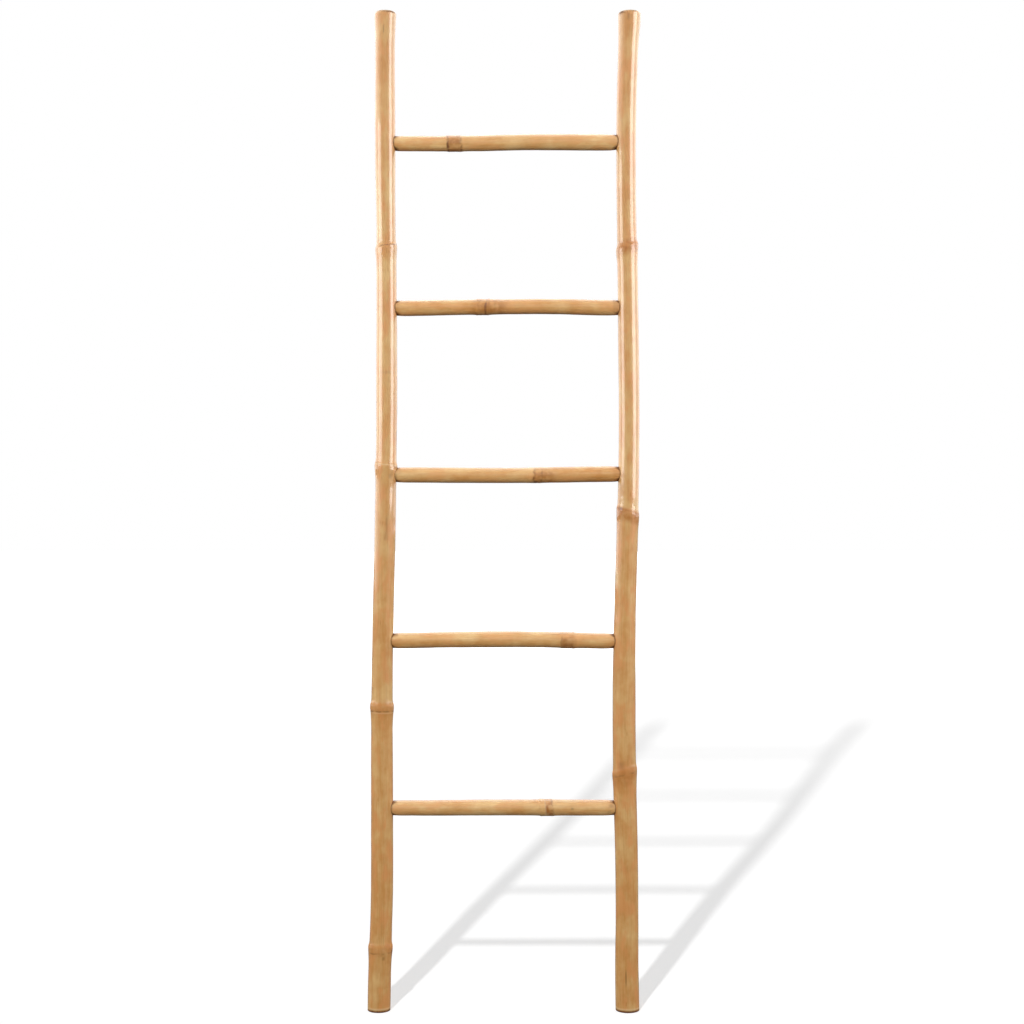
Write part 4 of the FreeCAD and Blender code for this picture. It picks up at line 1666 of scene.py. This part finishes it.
def blanket_ladder() -> Ladder:
    """Describe the ladder as the photograph shows it, with each joint, tone and mark in its place.

    Returns:
        The ladder, ready to build.
    """
    left = Rail(
        node="left_rail", side=Side.LEFT, head_lip=2 * MM, seed=0.0,
        pegs=[PegHole("peg_left_%d" % number) for number in RUNG_NUMBERS],
        joints=(Joint(98 * MM, 3.4 * MM, 0.0, bloom=0.4, bloom_low=17 * MM, scar=0.5, scar_at=-9.6 * MM,
                      dull=0.85, bud=17.0),
                Joint(460 * MM, 3.6 * MM, -1.0, bloom=0.5, bloom_low=23 * MM, scar=0.7, scar_at=-9.6 * MM,
                      wax=0.3, wax_and_sheen_at=-12 * MM, dull=0.85),
                # Here the pale band sits on the lip, partly a painted highlight.
                Joint(820 * MM, 3.5 * MM, -5.0, bloom=0.12, scar=0.0, wax=0.45, wax_and_sheen_at=-0.3 * MM, dull=0.5),
                Joint(1148 * MM, 3.6 * MM, 7.0, bloom=0.12, scar=0.8, scar_at=0.3 * MM, dull=0.2,
                      faces=50.0)),
        tones=(0.68, 0.7, 0.55, 0.5, 0.6),
        # Of these marks, the one at 1498 mm is a dark arc along the head's rounded top edge, partly dirt
        # and partly painted shade, and the one at 815.8 mm is painted shade in the corner above a socket.
        marks=(Mark(1471 * MM, -5.0, 13 * MM, 2.0 * MM, 0.5), Mark(81 * MM, 20.0, 5 * MM, 4 * MM, 0.35),
               Mark(88 * MM, 75.0, 9 * MM, 4 * MM, 0.8), Mark(802 * MM, 28.0, 8 * MM, 5 * MM, 0.3),
               Mark(728 * MM, 12.0, 30 * MM, 4 * MM, 0.3), Mark(714 * MM, 10.0, 16 * MM, 6 * MM, 0.25),
               Mark(1498.0 * MM, 38.0, 4.0 * MM, 26 * MM, 0.95), Mark(957 * MM, 5.0, 3 * MM, 20 * MM, 0.2),
               Mark(815.8 * MM, 66.0, 7 * MM, 8 * MM, 0.35)))
    right = Rail(
        node="right_rail", side=Side.RIGHT, head_lip=10 * MM, seed=3.1,
        pegs=[PegHole("peg_right_%d" % number) for number in RUNG_NUMBERS],
        joints=(Joint(361.5 * MM, 2.6 * MM, 14.0, bloom=0.75, bloom_low=30 * MM, scar=0.35,
                      scar_at=-5.5 * MM, dull=0.85, faces=-5.0),
                Joint(750 * MM, 2.4 * MM, -17.0, bloom=1.0, bloom_low=22 * MM, scar=0.35,
                      scar_at=0.4 * MM, dull=0.6),
                Joint(1148 * MM, 3.7 * MM, 15.0, bloom=1.0, bloom_low=17 * MM, bloom_high=10 * MM,
                      scar=0.1, dull=0.5, faces=0.0)),
        tones=(0.7, 0.68, 0.5, 0.7),
        # Of these marks, those at 1497.2 and 1499 mm are dark arcs along the head's rounded top edge,
        # partly dirt and partly painted shade.
        marks=(Mark(52 * MM, -8.0, 22 * MM, 1.6 * MM, 0.75), Mark(1497.2 * MM, -52.0, 5 * MM, 16 * MM, 0.9),
               Mark(1499 * MM, 20.0, 3 * MM, 30 * MM, 0.45),
               Mark(1489 * MM, -8.0, 10 * MM, 5 * MM, 0.35), Mark(369 * MM, -20.0, 12 * MM, 10 * MM, 0.3),
               Mark(753.9 * MM, -42.0, 4.5 * MM, 6 * MM, 0.6)))
    # The marks at about 60 degrees up or down, 162 to 165 mm from a rung's middle, are painted shade in the
    # corners where it meets a rail; the rest are brown marks.
    marks = (
        (Mark(102 * MM, 0.0, 4 * MM, 4 * MM, 0.4), Mark(160 * MM, 25.0, 8 * MM, 6 * MM, 0.35),
         Mark(157 * MM, -30.0, 6 * MM, 5 * MM, 0.3), Mark(164 * MM, 60.0, 6 * MM, 9 * MM, 0.6)),
        (Mark(96 * MM, -35.0, 20 * MM, 12 * MM, 0.3), Mark(162 * MM, -62.0, 7 * MM, 8 * MM, 0.6),
         Mark(-163 * MM, 62.0, 6 * MM, 8 * MM, 0.6)),
        (Mark(47 * MM, -60.0, 5 * MM, 6 * MM, 0.6), Mark(-163 * MM, -30.0, 3.4 * MM, 18 * MM, 0.6)),
        (Mark(167 * MM, 0.0, 9 * MM, 22 * MM, 0.2), Mark(165 * MM, 64.0, 6 * MM, 8 * MM, 0.6)),
        (Mark(-85 * MM, -35.0, 4 * MM, 12 * MM, 0.6), Mark(-163 * MM, -62.0, 7 * MM, 8 * MM, 0.7)))
    joints = (Joint(64 * MM, 1.8 * MM, -6.0, 0.85, 4 * MM, 9 * MM, scar=0.45, scar_at=8 * MM,
                    wax=0.4, wax_and_sheen_at=-2.2 * MM),
              Joint(96 * MM, 1.3 * MM, 0.0, 0.65, 14 * MM, 11 * MM, scar=0.35, scar_at=-10 * MM,
                    faces=-40.0),
              Joint(47 * MM, 0.7 * MM, 4.0, 0.6, 6 * MM, 34 * MM, scar=0.7, scar_at=-2 * MM, ring_at=9 * MM,
                    faces=-40.0),
              Joint(-31 * MM, 1.8 * MM, 3.0, 0.6, 22 * MM, 40 * MM, scar=0.95, scar_at=3.2 * MM),
              Joint(-75 * MM, 1.6 * MM, -5.0, 0.7, 14 * MM, 12 * MM, scar=0.95, scar_at=-9.5 * MM,
                    ring_at=9.5 * MM))
    tones = ((0.35, 0.35), (0.5, 0.55), (0.42, 0.85), (0.6, 0.65), (0.3, 0.35))
    rungs = [Rung(node="rung_%d" % number, joints=(joint,), tones=pair, marks=stains_and_shade,
                  seed=7.0 + 1.3 * number)
             for number, joint, pair, stains_and_shade in zip(RUNG_NUMBERS, joints, tones, marks)]
    return Ladder(left, right, rungs)


# ---- The studio ---------------------------------------------------------------------------------------

@dataclass(frozen=True)
class Softbox:
    """A panel of light that faces the ladder.

    Args:
        name: Its name.
        bearing: Its bearing from the front, in degrees, positive towards +X.
        distance: How far it stands from the ladder's middle.
        width: Its width.
        low: The height of its lower edge.
        high: The height of its upper edge.
        radiance: How bright its face is, where 1 is white.
        lights: Whether it lights the ladder, or only shows in its varnish.
    """

    name: str
    bearing: float
    distance: float
    width: float
    low: float
    high: float
    radiance: float
    lights: bool

    def build(self, unlit: bpy.types.Collection) -> bpy.types.Object:
        """Stand the panel in its place.

        Args:
            unlit: What the panel leaves alone.

        Returns:
            The lamp.
        """
        angle = math.radians(self.bearing)
        height = self.high - self.low
        spot = Vector((math.sin(angle), -math.cos(angle), 0.0)) * self.distance
        spot.z = (self.low + self.high) / 2
        facing = Vector((-spot.x, -spot.y, 0.0))
        data = bpy.data.lights.new(self.name, "AREA")
        data.shape = "RECTANGLE"
        data.size = self.width
        data.size_y = height
        data.energy = self.radiance * math.pi * self.width * height
        lamp = bpy.data.objects.new(self.name, data)
        lamp.location = spot
        lamp.rotation_euler = facing.to_track_quat("-Z", "Y").to_euler()
        lamp.visible_camera = False
        lamp.visible_diffuse = self.lights
        lamp.visible_glossy = not self.lights
        lamp.light_linking.receiver_collection = unlit
        bpy.context.scene.collection.objects.link(lamp)
        return lamp


@dataclass(frozen=True)
class Studio:
    """The camera, the white room and the lamps.

    Args:
        eye: Where the camera stands.
        lens: Its focal length in millimetres.
        sensor: The width of its sensor in millimetres.
        lamp_at: Where the lamps stand that throw the ladder's shadow back along the floor.
        lamp_rises: How much higher than that each lamp hangs.
        lamp_radius: Each lamp's radius.
        lamp_power: Each lamp's power in watts, with a fall-off that is taken out.
        floor_glow: How bright the floor is where those lamps don't reach it.
        floor_size: The floor's side.
        shadow_centre: The middle of the stretch of floor that shows the shadow.
        shadow_reach: Where that stretch starts to fade out to plain white, and where it has.
        softboxes: The panels of light round the ladder.
    """

    eye: tuple[float, float, float] = (0.0114, -2.6, 0.7486)
    lens: float = 60.8
    sensor: float = 36.0
    lamp_at: tuple[float, float, float] = (-0.92, -3.71, 3.05)
    lamp_rises: tuple[float, ...] = (-0.08, 0.0, 0.08)
    lamp_radius: float = 0.06
    lamp_power: float = 11.24
    floor_glow: float = 0.715
    floor_size: float = 60.0
    shadow_centre: tuple[float, float, float] = (0.5, 1.8, 0.0)
    shadow_reach: tuple[float, float] = (2.7, 5.0)
    softboxes: tuple[Softbox, ...] = (
        Softbox("left_softbox", -75.0, 1.6, 1.3, 0.9, 1.4, 3.4, True),
        Softbox("right_softbox", 75.0, 1.6, 1.3, 0.9, 1.4, 2.7, True),
        Softbox("front_softbox", 0.0, 2.2, 1.2, 0.8, 1.9, 3.1, True),
        Softbox("left_sheen", -69.5, 1.6, 1.1, 0.86, 1.66, 5.3, False),
        Softbox("right_sheen", 63.0, 1.6, 1.0, 0.75, 2.3, 7.0, False))

    # The floor: how pale it is for each metre from the lamps, how much of that its glow gives back, and
    # how much it brightens beyond the shadow.
    FLOOR_PALENESS, GLOW_GIVEN_BACK, BEYOND_GLOW = 0.1, 0.25, 0.6
    # The floor as the ladder sees it: how grey it is, and how it shows in the varnish.
    UNSEEN_GREY, MIRRORED_GLOW = (0.02, 0.02, 0.02, 1.0), 0.15
    # The room's light: how much comes from the sides, the front, and both front and back, and the band of
    # heights that it comes from, as the sine of the angle above level.
    SIDE_LIGHT, FRONT_LIGHT, DEPTH_LIGHT = 3.1, 0.6, 0.9
    BAND_FOOT, BAND_TOP = (-0.04, 0.12), (0.5, 0.3)
    # The room in the varnish: its front, then each change towards the back, from where to where and by
    # how much, and the ceiling.
    MIRRORED_FRONT = 0.35
    MIRRORED_STEPS = ((-0.6, 0.15, 2.0), (0.1, 0.5, 0.3), (0.6, 0.96, -1.8))
    MIRRORED_CEILING = 1.9

    def build(self) -> None:
        """Set up the camera, the floor, the world and the lamps."""
        self.place_camera()
        floor = self.lay_floor()
        self.light_world()
        lit = bpy.data.collections.new("lit_by_floor_lamps")
        lit.objects.link(floor)
        for rise in self.lamp_rises:
            self.hang_lamp(lit, rise)
        unlit = bpy.data.collections.new("beyond_the_softboxes")
        unlit.objects.link(floor)
        unlit.collection_objects[0].light_linking.link_state = "EXCLUDE"
        for softbox in self.softboxes:
            softbox.build(unlit)
        bpy.context.scene.view_settings.view_transform = "Standard"

    def place_camera(self) -> None:
        """Stand the camera square in front of the ladder."""
        data = bpy.data.cameras.new("camera")
        data.lens = self.lens
        data.sensor_width = self.sensor
        camera = bpy.data.objects.new("camera", data)
        camera.location = self.eye
        camera.rotation_euler = (math.pi / 2, 0.0, 0.0)
        bpy.context.scene.collection.objects.link(camera)
        bpy.context.scene.camera = camera

    def lay_floor(self) -> bpy.types.Object:
        """Lay the floor, which shows as white with the ladder's shadow on it.

        Returns:
            The floor.
        """
        Bench.clear()
        bpy.ops.mesh.primitive_plane_add(size=self.floor_size, location=(0.0, 0.0, -0.2 * MM))
        floor = bpy.context.object
        floor.name = "studio_floor"
        Bench.settle(floor)
        material = bpy.data.materials.new("studio_floor")
        material.use_nodes = True
        sheet = Sheet(material.node_tree)
        place = sheet.add("ShaderNodeTexCoord").outputs["Object"]
        path = sheet.add("ShaderNodeLightPath").outputs
        level = sheet.times(sheet.distance(place, self.lamp_at), self.FLOOR_PALENESS, clamp=True)
        pale = sheet.add("ShaderNodeBsdfDiffuse", {"Color": level})
        beyond = sheet.ease(sheet.distance(place, self.shadow_centre), *self.shadow_reach)
        glowing = sheet.minus(self.floor_glow, sheet.times(level, self.GLOW_GIVEN_BACK))
        glow = sheet.emission(sheet.plus(glowing, sheet.times(beyond, self.BEYOND_GLOW)))
        shown = sheet.add("ShaderNodeAddShader", {0: pale.outputs[0], 1: glow})
        grey = sheet.add("ShaderNodeBsdfDiffuse", {"Color": self.UNSEEN_GREY})
        mirrored = sheet.emission(sheet.times(path["Is Glossy Ray"], self.MIRRORED_GLOW))
        unseen = sheet.add("ShaderNodeAddShader", {0: grey.outputs[0], 1: mirrored})
        both = sheet.add("ShaderNodeMixShader", {
            0: path["Is Camera Ray"], 1: unseen.outputs[0], 2: shown.outputs[0]})
        sheet.add("ShaderNodeOutputMaterial", {0: both.outputs[0]})
        floor.data.materials.append(material)
        return floor

    def light_world(self) -> None:
        """Make the room white behind, where it is seen or mirrored, with light from the front and sides."""
        world = bpy.data.worlds.new("studio")
        world.use_nodes = True
        bpy.context.scene.world = world
        sheet = Sheet(world.node_tree)
        path = sheet.add("ShaderNodeLightPath").outputs
        generated = sheet.add("ShaderNodeTexCoord").outputs["Generated"]
        across, back, up = sheet.add("ShaderNodeSeparateXYZ", {0: generated}).outputs
        sides = sheet.times(sheet.times(across, across), self.SIDE_LIGHT)
        front = sheet.times(sheet.most(sheet.times(back, -1.0), 0.0), self.FRONT_LIGHT)
        depth = sheet.times(sheet.math("ABSOLUTE", back), self.DEPTH_LIGHT)
        band = sheet.times(sheet.ease(up, *self.BAND_FOOT), sheet.ease(up, *self.BAND_TOP))
        light = sheet.times(sheet.plus(sheet.plus(sides, front), depth), band)
        mirrored = self.MIRRORED_FRONT
        for start, end, change in self.MIRRORED_STEPS:
            mirrored = sheet.plus(mirrored, sheet.times(sheet.ease(back, start, end), change))
        mirrored = sheet.plus(mirrored, sheet.times(sheet.most(up, 0.0), self.MIRRORED_CEILING))
        light = sheet.blend(path["Is Glossy Ray"], light, mirrored)
        seen = sheet.most(path["Is Camera Ray"], path["Is Transmission Ray"])
        strength = sheet.blend(seen, light, 1.0)
        background = sheet.add("ShaderNodeBackground", {"Color": WHITE, "Strength": strength})
        sheet.add("ShaderNodeOutputWorld", {0: background.outputs[0]})

    def hang_lamp(self, lit: bpy.types.Collection, rise: float) -> None:
        """Hang a lamp up at the front left, which lights the floor alone round the ladder's shadow.

        Args:
            lit: What it lights.
            rise: How much higher than the others' middle it hangs.
        """
        data = bpy.data.lights.new("floor_lamp", "POINT")
        data.shadow_soft_size = self.lamp_radius
        data.energy = self.lamp_power
        data.use_nodes = True
        sheet = Sheet(data.node_tree)
        falloff = sheet.add("ShaderNodeLightFalloff", {"Strength": 1.0}).outputs["Constant"]
        sheet.add("ShaderNodeOutputLight", {0: sheet.emission(falloff)})
        lamp = bpy.data.objects.new("floor_lamp", data)
        lamp.location = Vector(self.lamp_at) + Vector((0.0, 0.0, rise))
        lamp.light_linking.receiver_collection = lit
        bpy.context.scene.collection.objects.link(lamp)


def main() -> None:
    """Build the studio and the ladder, and report each piece."""
    logging.basicConfig(level=logging.INFO, format="%(message)s")
    Studio().build()
    for piece in blanket_ladder().build():
        logging.info("%s: %d faces", piece.name, len(piece.data.polygons))


if __name__ == "__main__":
    main()
